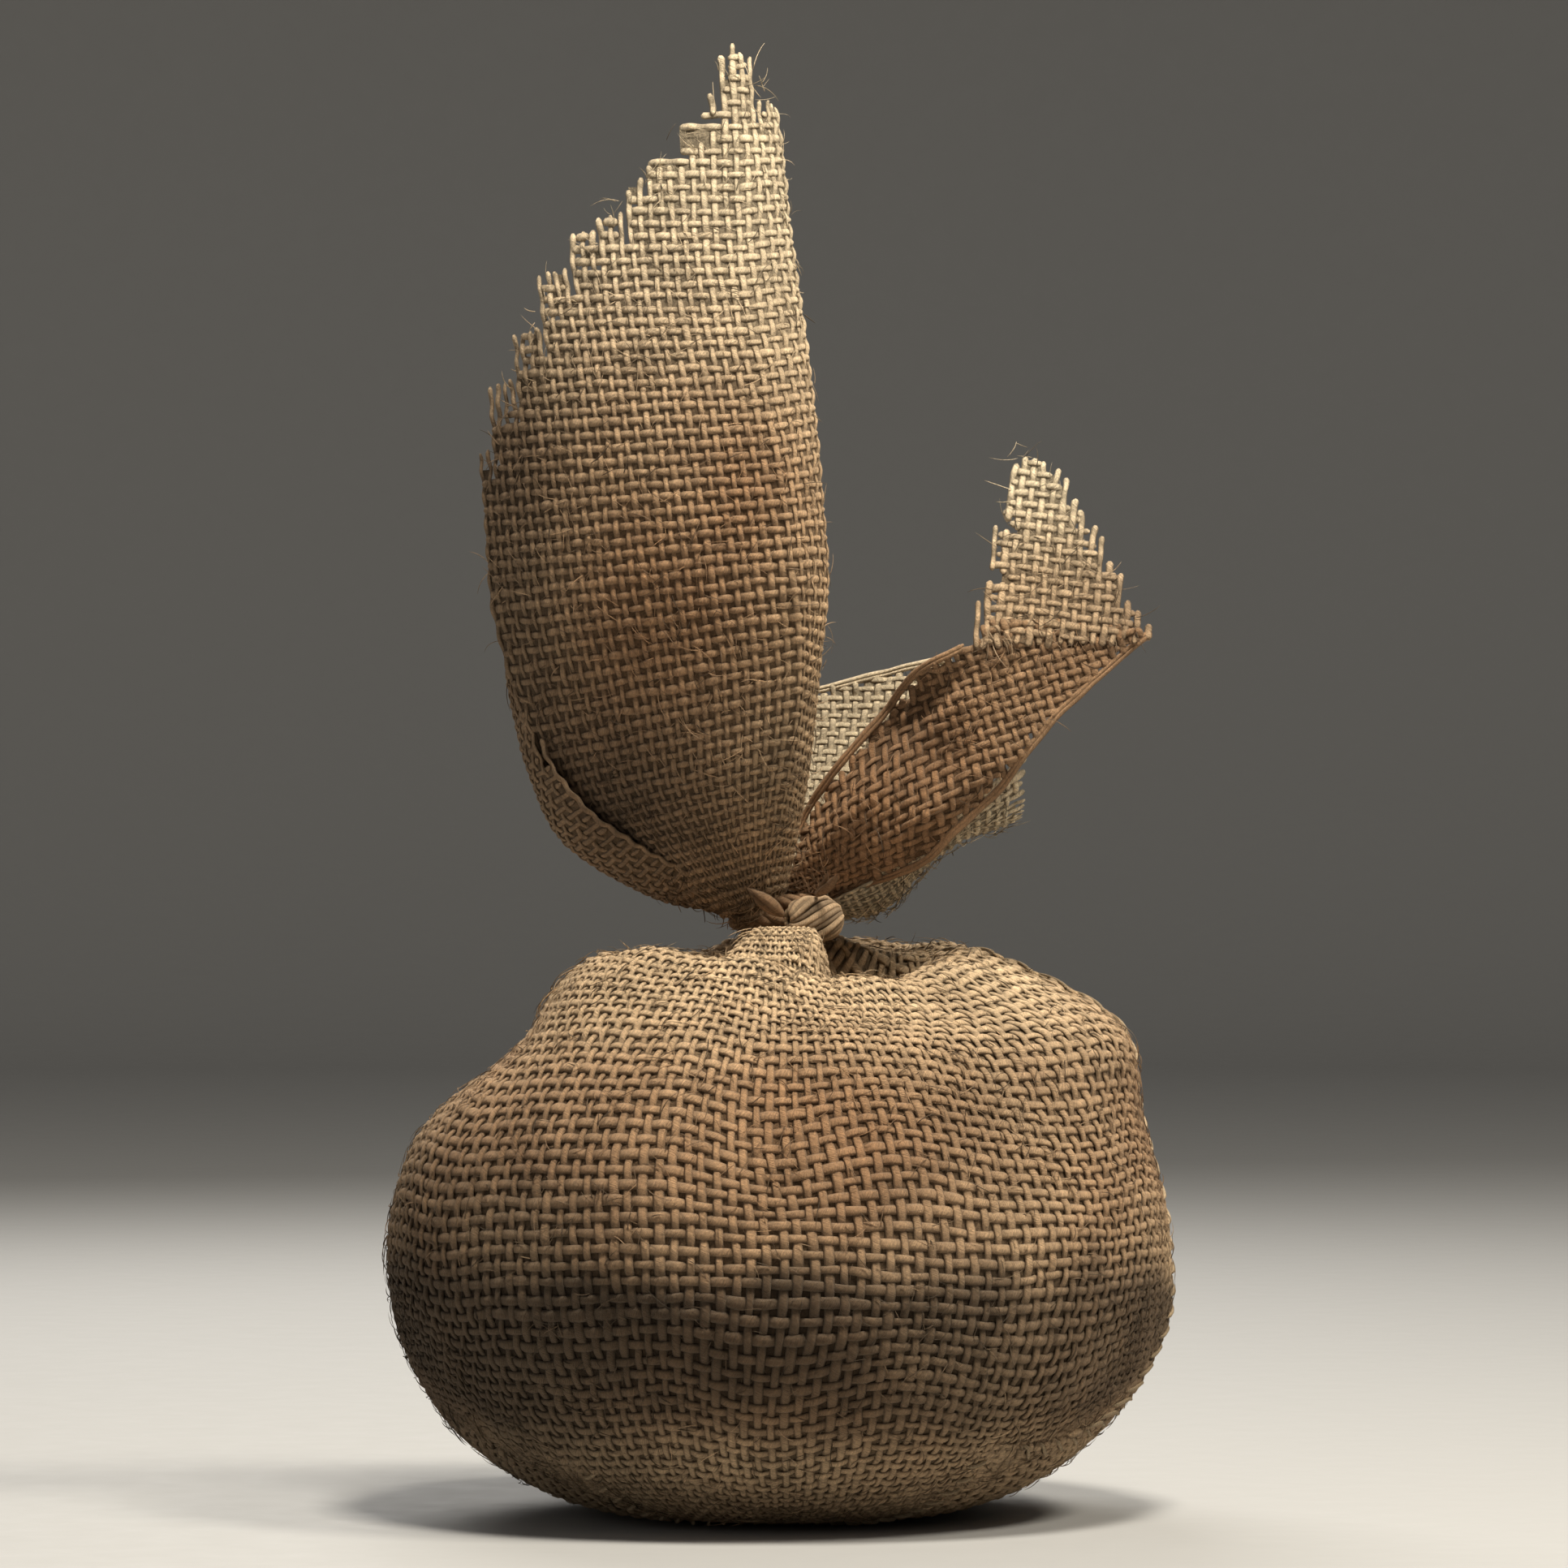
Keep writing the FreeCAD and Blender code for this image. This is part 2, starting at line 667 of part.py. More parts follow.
def main():
    model = Model()
    make_sack_body(model)
    make_filling(model)
    make_side_seam(model)
    make_bottom_seam(model)
    make_neck(model)
    make_collar(model)
    make_coil(model)
    make_knot(model)
    make_tails(model)
    for name in FLAPS:
        make_flap(model, name)
    model.doc.recompute()
    check(model)
    os.makedirs(OUT_DIR, exist_ok=True)
    for node in model.nodes:
        node.Shape.exportStep(os.path.join(OUT_DIR, node.Label + ".step"))


main()
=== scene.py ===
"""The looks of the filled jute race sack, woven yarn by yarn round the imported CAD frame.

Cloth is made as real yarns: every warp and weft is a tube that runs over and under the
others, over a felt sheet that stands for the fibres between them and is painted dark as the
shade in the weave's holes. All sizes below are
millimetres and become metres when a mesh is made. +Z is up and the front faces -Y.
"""

import json
import math
from itertools import product

import bpy
import numpy as np
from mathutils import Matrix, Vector


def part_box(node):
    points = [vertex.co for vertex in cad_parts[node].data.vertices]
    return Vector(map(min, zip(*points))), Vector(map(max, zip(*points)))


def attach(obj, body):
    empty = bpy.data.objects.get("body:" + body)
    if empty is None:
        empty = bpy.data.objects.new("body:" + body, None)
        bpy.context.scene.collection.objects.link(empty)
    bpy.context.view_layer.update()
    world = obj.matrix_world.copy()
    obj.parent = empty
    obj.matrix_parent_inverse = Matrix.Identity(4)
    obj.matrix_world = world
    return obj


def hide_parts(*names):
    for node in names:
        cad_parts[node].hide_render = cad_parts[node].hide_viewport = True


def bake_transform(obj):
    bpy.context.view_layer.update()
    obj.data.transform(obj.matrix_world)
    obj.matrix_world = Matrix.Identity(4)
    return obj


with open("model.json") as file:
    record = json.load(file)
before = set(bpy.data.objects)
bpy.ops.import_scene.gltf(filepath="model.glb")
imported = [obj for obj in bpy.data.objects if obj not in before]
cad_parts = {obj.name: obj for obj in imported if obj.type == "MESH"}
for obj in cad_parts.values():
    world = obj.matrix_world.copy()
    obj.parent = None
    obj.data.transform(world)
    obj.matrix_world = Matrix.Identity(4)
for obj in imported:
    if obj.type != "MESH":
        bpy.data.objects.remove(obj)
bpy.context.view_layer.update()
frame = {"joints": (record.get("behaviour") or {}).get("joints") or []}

MM = 0.001
TAU = 2 * math.pi


def cad_mm(node):
    """Lowest and highest corner of a CAD node, in millimetres."""
    low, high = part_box(node)
    return np.array(low) / MM, np.array(high) / MM


def joint_of(child):
    return next(j for j in frame["joints"] if j["child"] == child)


def pivot(child):
    """Where a body's joint is, in millimetres."""
    return np.array(joint_of(child)["pos_m"]) / MM


# --- numbers --------------------------------------------------------------------------

SACK_LOW, SACK_HIGH = cad_mm("sack_body")
COIL_LOW, COIL_HIGH = cad_mm("tie_cord_wraps")
BELLY = SACK_HIGH[0]
CROWN = SACK_HIGH[2]
TIE = (COIL_LOW[2] + COIL_HIGH[2]) / 2

BODY_PITCH = 7.4  # between yarns at the belly
FRONT_PITCH = 6.0
FLAP_PITCH = 5.1
REAR_PITCH = 4.5


# --- noise ----------------------------------------------------------------------------


def noise(points, size, seed):
    """Smooth random values in -1..1 at points (..., 3), with blobs about size across."""
    scaled = np.asarray(points) / size
    cell = np.floor(scaled).astype(np.int64)
    part = scaled - cell
    part = part * part * (3 - 2 * part)
    total = np.zeros(part.shape[:-1])
    for corner in product((0, 1), repeat=3):
        key = cell + np.array(corner)
        mixed = key[..., 0] * 73856093 ^ key[..., 1] * 19349663 ^ key[..., 2] * 83492791
        mixed = (mixed ^ seed * 2654435761) & 0xFFFFFFFF
        mixed = ((mixed ^ (mixed >> 15)) * 2246822519) & 0xFFFFFFFF
        mixed = ((mixed ^ (mixed >> 13)) * 3266489917) & 0xFFFFFFFF
        value = ((mixed ^ (mixed >> 16)) & 0xFFFF) / 32767.5 - 1
        weight = np.prod(np.where(corner, part, 1 - part), axis=-1)
        total += value * weight
    return total


def layered_noise(points, size, seed):
    """Noise with two finer layers on top."""
    fine = noise(points, size / 2.1, seed + 1) / 2 + noise(points, size / 4.3, seed + 2) / 4
    return (noise(points, size, seed) + fine) / 1.4


def smooth(x):
    """Smoothstep of x, held to 0..1."""
    x = np.clip(x, 0, 1)
    return x * x * (3 - 2 * x)


def bump(x, centre, width):
    return np.exp(-(((x - centre) / width) ** 2))


def turn_between(a, b):
    """a - b for angles in degrees, in -180..180."""
    return (a - b + 180) % 360 - 180


def unit(v):
    return v / np.maximum(np.linalg.norm(v, axis=-1, keepdims=True), 1e-12)


def polar(radius, turn, z):
    """Points (..., 3) from a radius, an angle round +Z and a height."""
    return np.stack([radius * np.cos(turn), radius * np.sin(turn), z], -1)


def run_along(path):
    """How far along a path (m, d) each of its points is."""
    return np.concatenate([[0], np.cumsum(np.linalg.norm(np.diff(path, axis=0), axis=1))])


def sway_y(place, ripple):
    """place moved along Y by ripple."""
    return place + ripple[..., None] * np.array((0, 1, 0))


def curve_through(points, at):
    """A smooth curve through points (k, d), read at values 0..k-1 (Catmull-Rom)."""
    points = np.asarray(points, float)
    first = 2 * points[0] - points[1]
    last = 2 * points[-1] - points[-2]
    held = np.vstack([first, points, last])
    at = np.clip(at, 0, len(points) - 1.000001)
    k = np.floor(at).astype(int)
    t = (at - k)[..., None]
    a, b, c, d = (held[k + step] for step in range(4))
    return 0.5 * (
        2 * b + (c - a) * t + (2 * a - 5 * b + 4 * c - d) * t**2 + (3 * b - a - 3 * c + d) * t**3
    )


def inside_distance(outline, x, z):
    """How far points are inside a closed outline in the X-Z plane; negative outside."""
    outline = np.asarray(outline, float)
    inside = np.zeros(x.shape, bool)
    nearest = np.full(x.shape, np.inf)
    for (ax, az), (bx, bz) in zip(outline, np.roll(outline, -1, axis=0)):
        dx, dz = bx - ax, bz - az
        along = np.clip(((x - ax) * dx + (z - az) * dz) / (dx * dx + dz * dz), 0, 1)
        nearest = np.minimum(nearest, np.hypot(x - ax - along * dx, z - az - along * dz))
        crosses = (az > z) != (bz > z)
        at = ax + (z - az) * dx / np.where(dz == 0, 1, dz)
        inside ^= crosses & (x < at)
    return np.where(inside, nearest, -nearest)


# --- meshes ---------------------------------------------------------------------------


class Soup:
    """Vertices and faces gathered from many tubes and sheets, with what the shader reads.

    colour is the yarn's own tint, fibre holds (distance along, turn round, yarn number), and
    lay is where each vertex goes in the bake's layout.
    """

    def __init__(self):
        self.count = 0
        self.points, self.colour, self.fibre, self.lay = [], [], [], []
        self.faces = []

    def add(self, points, colour, fibre, lay, faces):
        self.points.append(points)
        self.colour.append(colour)
        self.fibre.append(fibre)
        self.lay.append(lay)
        self.faces += [block + self.count for block in faces]
        self.count += len(points)

    def make(self, name, material):
        """The gathered mesh as a new object."""
        points = np.concatenate(self.points) * MM
        loops = np.concatenate([block.ravel() for block in self.faces])
        sizes = np.concatenate([np.full(len(b), b.shape[1]) for b in self.faces])
        starts = np.concatenate([[0], np.cumsum(sizes)[:-1]])
        mesh = bpy.data.meshes.new(name)
        mesh.vertices.add(len(points))
        mesh.vertices.foreach_set("co", points.astype(np.float32).ravel())
        mesh.loops.add(len(loops))
        mesh.loops.foreach_set("vertex_index", loops.astype(np.int32))
        mesh.polygons.add(len(sizes))
        mesh.polygons.foreach_set("loop_start", starts.astype(np.int32))
        mesh.update(calc_edges=True)
        mesh.polygons.foreach_set("use_smooth", np.ones(len(sizes), bool))
        colour = mesh.attributes.new("tint", "FLOAT_COLOR", "POINT")
        rgba = np.hstack([np.concatenate(self.colour), np.ones((len(points), 1))])
        colour.data.foreach_set("color", rgba.astype(np.float32).ravel())
        fibre = mesh.attributes.new("fibre", "FLOAT_VECTOR", "POINT")
        fibre.data.foreach_set("vector", np.concatenate(self.fibre).astype(np.float32).ravel())
        lay = np.concatenate(self.lay)[loops]
        layer = mesh.uv_layers.new(name="OFBake")
        layer.data.foreach_set("uv", np.clip(lay, 0, 1).astype(np.float32).ravel())
        mesh.validate(clean_customdata=False)
        mesh.materials.append(material)
        return placed(name, mesh)


def placed(name, data):
    """A new object in the scene, made from a mesh, lamp or camera."""
    thing = bpy.data.objects.new(name, data)
    bpy.context.scene.collection.objects.link(thing)
    return thing


def run_ends(keep):
    """First and last kept samples of every run along each row."""
    before = np.zeros_like(keep)
    after = np.zeros_like(keep)
    before[:, 1:] = keep[:, :-1]
    after[:, :-1] = keep[:, 1:]
    return keep & ~before, keep & ~after


def drop_short_runs(keep, least):
    """Unsets runs of fewer than least samples."""
    kept = keep.copy()
    for row in kept:
        starts = np.flatnonzero(np.diff(np.concatenate([[0], row.astype(int)])) == 1)
        stops = np.flatnonzero(np.diff(np.concatenate([row.astype(int), [0]])) == -1) + 1
        for a, b in zip(starts, stops):
            if b - a < least:
                row[a:b] = False
    return kept


END_TAPER = 0.45  # a tube's last ring, as a share of its size
FLANK_PAINTED_SHADE = 0.6  # painted shade: the brightness of a tube's sides, where it meets its neighbours


def add_tubes(soup, centre, normal, across, through, colour, keep=None, sides=6, band=(0, 1), least=2):
    """Adds one tube for each row of centre (n, m, 3).

    across and through are the half sizes along and across the cloth, keep says which samples
    exist, and band is the part of the bake layout's height these tubes fill. Runs of fewer
    than least samples are left out. One value does for all samples where they are alike.
    """
    n, m = centre.shape[:2]
    keep = drop_short_runs(np.ones((n, m), bool) if keep is None else keep, least)
    if not keep.any():
        return
    normal, colour = (np.broadcast_to(values, centre.shape) for values in (normal, colour))
    tangent = unit(np.gradient(centre, axis=1))
    side = unit(np.cross(tangent, normal))
    up = np.cross(side, tangent)
    starts, ends = run_ends(keep)
    taper = np.where(starts | ends, END_TAPER, 1.0)
    turn = np.arange(sides) * TAU / sides
    wide = (across * taper)[..., None, None] * np.cos(turn)[:, None]
    tall = (through * taper)[..., None, None] * np.sin(turn)[:, None]
    ring = centre[:, :, None] + side[:, :, None] * wide + up[:, :, None] * tall
    step = np.linalg.norm(np.diff(centre, axis=1), axis=-1)
    along = np.concatenate([np.zeros((n, 1)), np.cumsum(step, axis=1)], axis=1)
    # the way round runs up one half and down the other, so that no seam shows
    way_round = np.abs(np.arange(sides) * 2 / sides - 1)
    fibre = np.empty((n, m, sides, 3))
    fibre[..., 0] = along[..., None]
    fibre[..., 1] = way_round
    fibre[..., 2] = (np.arange(n) * 7.31 % 97)[:, None, None]
    lay = np.empty((n, m, sides, 2))
    lay[..., 0] = (along / max(along.max(), 1e-6))[..., None]
    height = (band[1] - band[0]) / n
    row = band[0] + height * np.arange(n)
    lay[..., 1] = row[:, None, None] + height * 0.9 * way_round
    index = np.full((n, m, sides), -1)
    index[keep] = np.arange(keep.sum() * sides).reshape(-1, sides)
    linked = keep[:, :-1] & keep[:, 1:]
    a = index[:, :-1][linked]
    b = index[:, 1:][linked]
    quads = np.stack([a, np.roll(a, -1, axis=1), np.roll(b, -1, axis=1), b], axis=-1).reshape(-1, 4)
    caps = np.concatenate([index[starts][:, ::-1], index[ends]])
    # painted shade: each tube is darker on its sides, where the shade between neighbouring yarns falls
    painted_flank_shade = FLANK_PAINTED_SHADE + (1 - FLANK_PAINTED_SHADE) * smooth(np.abs(np.sin(turn)) / 0.85)
    tint = colour[:, :, None] * painted_flank_shade[:, None]
    soup.add(
        ring[keep].reshape(-1, 3), tint[keep].reshape(-1, 3), fibre[keep].reshape(-1, 3),
        lay[keep].reshape(-1, 2), [quads, caps],
    )


def add_strand(soup, path, normal, across, through, colour, **options):
    """Adds one whole tube along path (m, 3)."""
    add_tubes(soup, path[None], normal, across, through, colour, **options)


def add_sheet(soup, points, colour, keep):
    """Adds a grid (n, m, 3) of quads where keep (n-1, m-1) is set."""
    if not keep.any():
        return
    n, m = points.shape[:2]
    index = np.arange(n * m).reshape(n, m)
    quads = np.stack([index[:-1, :-1], index[1:, :-1], index[1:, 1:], index[:-1, 1:]], axis=-1)[keep]
    used, packed = np.unique(quads, return_inverse=True)
    lay = np.stack(np.meshgrid(np.linspace(0, 1, n), np.linspace(0, 1, m), indexing="ij"), axis=-1)
    flat = points.reshape(-1, 3)[used]
    soup.add(
        flat, colour.reshape(-1, 3)[used], flat, lay.reshape(-1, 2)[used], [packed.reshape(-1, 4)]
    )


# --- weaving --------------------------------------------------------------------------


class Cloth:
    """A woven sheet over a lattice of warps (first coordinate) and wefts (second).

    place(p, q) gives the cloth's middle in the frame, in millimetres, for lattice positions
    p and q counted in yarns. keep(p, q, family, yarn) says where each yarn exists and how
    loose it is there, and fill is half a yarn's width, as a share of the yarns' spacing.
    """

    SWAY = 0.16  # how far a yarn wanders to the side, in yarns
    RISE = 0.115  # how far a yarn climbs over another, in pitches
    THICK = 0.135  # half a yarn's thickness, in pitches
    WIDEST = 1.15  # the most that a yarn spreads, in pitches
    STRAY, LIFT = 2.2, 2.6  # how far a loose end leaves its place, in millimetres

    def __init__(self, place, keep, colour, pitch, thickness=1.0, seed=1, fill=0.29):
        self.place, self.keep, self.colour = place, keep, colour
        self.pitch, self.thickness, self.seed, self.fill = pitch, thickness, seed, fill

    def surface(self, p, q):
        """Points, outward normals and the local stretch of both families."""
        step = 0.2
        here = self.place(p, q)
        along_p = (self.place(p + step, q) - self.place(p - step, q)) / (2 * step)
        along_q = (self.place(p, q + step) - self.place(p, q - step)) / (2 * step)
        normal = unit(np.cross(along_p, along_q))
        return here, normal, np.linalg.norm(along_p, axis=-1), np.linalg.norm(along_q, axis=-1)

    def yarns(self, soup, family, which, low, high, per_pitch=4, band=(0, 1)):
        """Adds the yarns numbered which of one family ("warp" or "weft") between low and high."""
        which = np.asarray(which)
        run = np.arange(round((high - low) * per_pitch) + 1) / per_pitch + low
        yarn, t = np.meshgrid(which.astype(float), run, indexing="ij")
        warp = family == "warp"

        def along_yarn(spread, layer, size, seed, stretch=1.0):
            """Noise along each yarn, unlike its neighbours' where spread is large."""
            at = np.stack([yarn * spread, t * stretch, np.full_like(t, layer)], -1)
            return noise(at, size, self.seed + seed)

        sway = self.SWAY * along_yarn(9.7, 40.0 if warp else 80.0, 3.1, 0)
        p, q = (yarn + sway, t) if warp else (t, yarn + sway)
        here, normal, across_p, across_q = self.surface(p, q)
        spacing = np.minimum(across_p if warp else across_q, self.pitch * self.WIDEST)
        sign = 1 if warp else -1
        relief = sign * np.cos(math.pi * (t + yarn))
        lean = (spacing / self.pitch) ** 0.7
        height = self.pitch * self.RISE * self.thickness * lean
        slub = 1 + 0.24 * along_yarn(5.3, 7.0, 2.3, 5)
        slub *= 1 + 0.10 * along_yarn(31.7, 0.0, 1.0, 6, stretch=0.1)
        keep, loose = self.keep(p, q, family, yarn)
        swell = 1 + 0.12 * loose
        across = spacing * self.fill * slub * self.thickness * swell
        through = self.pitch * self.THICK * slub * self.thickness * lean * swell
        stray = self.STRAY * along_yarn(3.3, 3.0, 1.7, 8) * loose
        lift = self.LIFT * along_yarn(4.1, 9.0, 1.9, 9) * loose
        side = unit(np.cross(unit(np.gradient(here, axis=1)), normal))
        off_cloth = relief * height * (1 - 0.6 * loose) + lift
        centre = here + normal * off_cloth[..., None] + side * stray[..., None]
        # painted shade where a yarn dips under the cross yarns, painted light where it rides over them
        tint = self.colour(here, normal, yarn * sign - 0.5) * (0.82 + 0.20 * relief)[..., None]
        add_tubes(soup, centre, normal, across, through, tint, keep, band=band, least=5)

    def painted_shade_felt(self, soup, p_range, q_range, keep_cell, sink=0.0):
        """Adds the fibre sheet behind the yarns, painted dark as the shade in the weave's holes."""
        lines = (np.arange(low, high + 1.0) for low, high in (p_range, q_range))
        p, q = np.meshgrid(*lines, indexing="ij")
        here, normal, _, _ = self.surface(p, q)
        middle_p = (p[:-1, :-1] + p[1:, 1:]) / 2
        middle_q = (q[:-1, :-1] + q[1:, 1:]) / 2
        keep = keep_cell(middle_p, middle_q)
        tint = self.colour(here, normal, p)
        add_sheet(soup, here - normal * sink, tint, keep)


# --- materials ------------------------------------------------------------------------


class Nodes:
    """A material's node tree, with short calls for making and linking nodes."""

    def __init__(self, name):
        self.material = bpy.data.materials.new(name)
        self.material.use_nodes = True
        self.tree = self.material.node_tree
        self.tree.nodes.clear()

    def add(self, kind, **inputs):
        """A node with inputs set by name; a value that is a socket is linked."""
        node = self.tree.nodes.new(kind)
        for name, value in inputs.items():
            self.put(node, name.replace("_", " "), value)
        return node

    def put(self, node, name, value):
        socket = node.inputs[int(name) if name.isdigit() else name]
        if isinstance(value, bpy.types.NodeSocket):
            self.tree.links.new(value, socket)
        else:
            socket.default_value = value

    def attribute(self, name):
        node = self.tree.nodes.new("ShaderNodeAttribute")
        node.attribute_name = name
        return node

    def math(self, operation, a, b=0.0):
        node = self.tree.nodes.new("ShaderNodeMath")
        node.operation = operation
        self.put(node, "0", a)
        self.put(node, "1", b)
        return node.outputs[0]

    def noise(self, vector, scale, detail=3.0, rough=0.6):
        node = self.add("ShaderNodeTexNoise", Vector=vector, Scale=scale, Detail=detail)
        node.inputs["Roughness"].default_value = rough
        return node.outputs["Fac"]

    def scaled(self, vector, factors):
        node = self.tree.nodes.new("ShaderNodeVectorMath")
        node.operation = "MULTIPLY"
        self.put(node, "0", vector)
        node.inputs[1].default_value = factors
        return node.outputs[0]

    def range(self, value, low, high):
        """Spreads the middle of a noise's values over low..high."""
        node = self.add("ShaderNodeMapRange", Value=value)
        node.inputs["From Min"].default_value = 0.3
        node.inputs["From Max"].default_value = 0.7
        node.inputs["To Min"].default_value = low
        node.inputs["To Max"].default_value = high
        return node.outputs[0]

    def times(self, colour, value):
        node = self.tree.nodes.new("ShaderNodeMix")
        node.data_type = "RGBA"
        node.blend_type = "MULTIPLY"
        node.inputs[0].default_value = 1.0
        self.tree.links.new(colour, node.inputs[6])
        self.tree.links.new(value, node.inputs[7])
        return node.outputs[2]

    SHEEN_TINT = (1.0, 0.80, 0.60, 1)
    SPECULAR = 0.12

    def finish(self, colour, roughness, height, depth, sheen=0.2):
        """The finished material: dull and dry, with a warm sheen from the loose fibres."""
        bump_node = self.add("ShaderNodeBump", Height=height, Strength=1.0, Distance=depth)
        shader = self.add("ShaderNodeBsdfPrincipled", Roughness=roughness)
        self.tree.links.new(colour, shader.inputs["Base Color"])
        self.tree.links.new(bump_node.outputs[0], shader.inputs["Normal"])
        shader.inputs["Sheen Weight"].default_value = sheen
        shader.inputs["Sheen Tint"].default_value = self.SHEEN_TINT
        shader.inputs["Sheen Roughness"].default_value = 0.6
        shader.inputs["Specular IOR Level"].default_value = self.SPECULAR
        out = self.tree.nodes.new("ShaderNodeOutputMaterial")
        self.tree.links.new(shader.outputs[0], out.inputs["Surface"])
        return self.material


def yarn_material(name, twist, dark):
    """Jute yarn: streaks of fibre that wind round it, specks and broad patches."""
    n = Nodes(name)
    fibre = n.attribute("fibre").outputs["Vector"]
    split = n.add("ShaderNodeSeparateXYZ", Vector=fibre)
    wound = n.math("ADD", split.outputs[1], n.math("MULTIPLY", split.outputs[0], twist))
    joined = n.add("ShaderNodeCombineXYZ", X=n.math("MULTIPLY", split.outputs[0], 0.16))
    n.put(joined, "Y", n.math("MULTIPLY", wound, 2.6))
    n.put(joined, "Z", split.outputs[2])
    streak = n.noise(joined.outputs[0], 3.0, detail=4.0, rough=0.65)
    place = n.add("ShaderNodeTexCoord").outputs["Object"]
    speck = n.noise(place, 900.0, detail=2.0)
    patch = n.noise(place, 55.0, detail=3.0)
    shade = n.range(streak, dark, 1.3)
    shade = n.math("MULTIPLY", shade, n.range(speck, 0.8, 1.2))
    shade = n.math("MULTIPLY", shade, n.range(patch, 0.82, 1.15))
    colour = n.times(n.attribute("tint").outputs["Color"], shade)
    height = n.math("ADD", streak, n.math("MULTIPLY", speck, 0.35))
    return n.finish(colour, n.range(speck, 0.75, 0.98), height, 0.0016)


def painted_shade_felt_material(name):
    """The matted fibres between the yarns, painted dark as the shade deep in the weave."""
    n = Nodes(name)
    place = n.add("ShaderNodeTexCoord").outputs["Object"]
    fine = n.noise(place, 1100.0, detail=4.0, rough=0.7)
    coarse = n.noise(place, 160.0, detail=2.0)
    shade = n.math("MULTIPLY", n.range(fine, 0.08, 0.36), n.range(coarse, 0.7, 1.3))
    colour = n.times(n.attribute("tint").outputs["Color"], shade)
    return n.finish(colour, n.range(fine, 0.85, 1.0), fine, 0.0008, sheen=0.1)


YARN = yarn_material("jute_yarn", twist=0.35, dark=0.55)
PAINTED_SHADE_FELT = painted_shade_felt_material("jute_painted_shade_felt")
CORD = yarn_material("jute_cord", twist=0.5, dark=0.4)


# --- colours of the cloth -------------------------------------------------------------

TAN = np.array([0.50, 0.290, 0.152])
CREAM = np.array([0.85, 0.63, 0.385])
BLEACHED = np.array([0.97, 0.81, 0.56])
RUST = np.array([0.47, 0.235, 0.105])
GREY = np.array([0.19, 0.122, 0.072])
UMBER = np.array([0.085, 0.052, 0.029])


def mixed(colour, other, amount):
    """colour with an amount of other, which is one number or one for each point."""
    amount = np.asarray(np.clip(amount, 0, 1))[..., None]
    return colour * (1 - amount) + other * amount


def yarn_tone(points, yarn):
    """Each yarn's own lightness, which changes slowly along it."""
    key = np.stack([yarn * 11.3, points[..., 2] * 0.02, points[..., 0] * 0.02], -1)
    return (1 + 0.13 * noise(key, 1.0, 71))[..., None]


def cloth_colour(points, normal, yarn):
    """Tan jute with rust and grey-brown patches."""
    base = np.broadcast_to(TAN, points.shape)
    base = mixed(base, CREAM, 0.30 + 0.45 * layered_noise(points, 95, 11))
    base = mixed(base, RUST, 0.55 * layered_noise(points, 75, 12) - 0.05)
    base = mixed(base, GREY, 0.7 * layered_noise(points, 85, 13) - 0.12)
    return base * yarn_tone(points, yarn)


def body_colour(points, normal, yarn):
    """The body: paler over the shoulders, rust at the front, brown below the belly, with painted
    light over the top and near the floor, and painted shade down the lower left and in the hollow
    round the neck.
    """
    x, y, z = points[..., 0], points[..., 1], points[..., 2]
    base = cloth_colour(points, normal, yarn)
    base = mixed(base, CREAM, smooth((z - 205) / 60) * (0.6 + 0.3 * layered_noise(points, 60, 23)))
    front = smooth((-y - 40) / 120)
    base = mixed(base, RUST, front * bump(x, 25, 80) * bump(z, 190, 38) * 0.5)
    rough = 9 * noise(points, 24, 21) + 16 * noise(points, 120, 24)
    below = smooth((137 + rough - z) / 24) * smooth((z + rough - 30) / 45)
    base = mixed(base, UMBER, below * (0.80 + 0.3 * layered_noise(points, 60, 22)))
    # painted light: paler near the floor, in place of the light bounced up from it
    base = mixed(base, CREAM, smooth((62 - z) / 30) * 0.45)
    left = smooth((-x - 20) / 110)
    # painted shade in the hollow round the neck
    hollow_shade = smooth((74 - np.hypot(x, y)) / 16) * smooth((CROWN - 1 - z) / 10)
    base = mixed(base, UMBER, 0.3 * hollow_shade)
    # painted light over the top of the body and painted shade down its lower left side
    painted_shading = (0.90 + 0.12 * smooth((z - 215) / 40)) * (1 - 0.52 * left * smooth((235 - z) / 90))
    return base * painted_shading[..., None]


# --- the body's shape -----------------------------------------------------------------

BASE = 64.0
SIDE = BELLY - BASE
SHOULDER = 170.0
ROLL = 30.0
CRATER = 14.0
CRATER_FLOOR = 250.0
SKIN = 2.6  # from the cloth's outer face to its middle
NECK = 15.5
FLOOR_GAP = 0.8  # how far above the floor the lowest fibre stays

EAR_TURNS = (172.0, 8.0)  # the belly azimuths above the bottom seam's two ends
EARS = ((-101.0, -121.0), (106.0, -131.0))  # those ends, unrolled onto the base plane
SEAM_BOW = (0.0, 10.0)  # bows the seam back towards the middle of the base


def arc_points(centre, radius, start, end, count=60):
    a = np.radians(np.linspace(start, end, count))
    return np.stack([centre[0] + radius * np.cos(a), centre[1] + radius * np.sin(a)], -1)


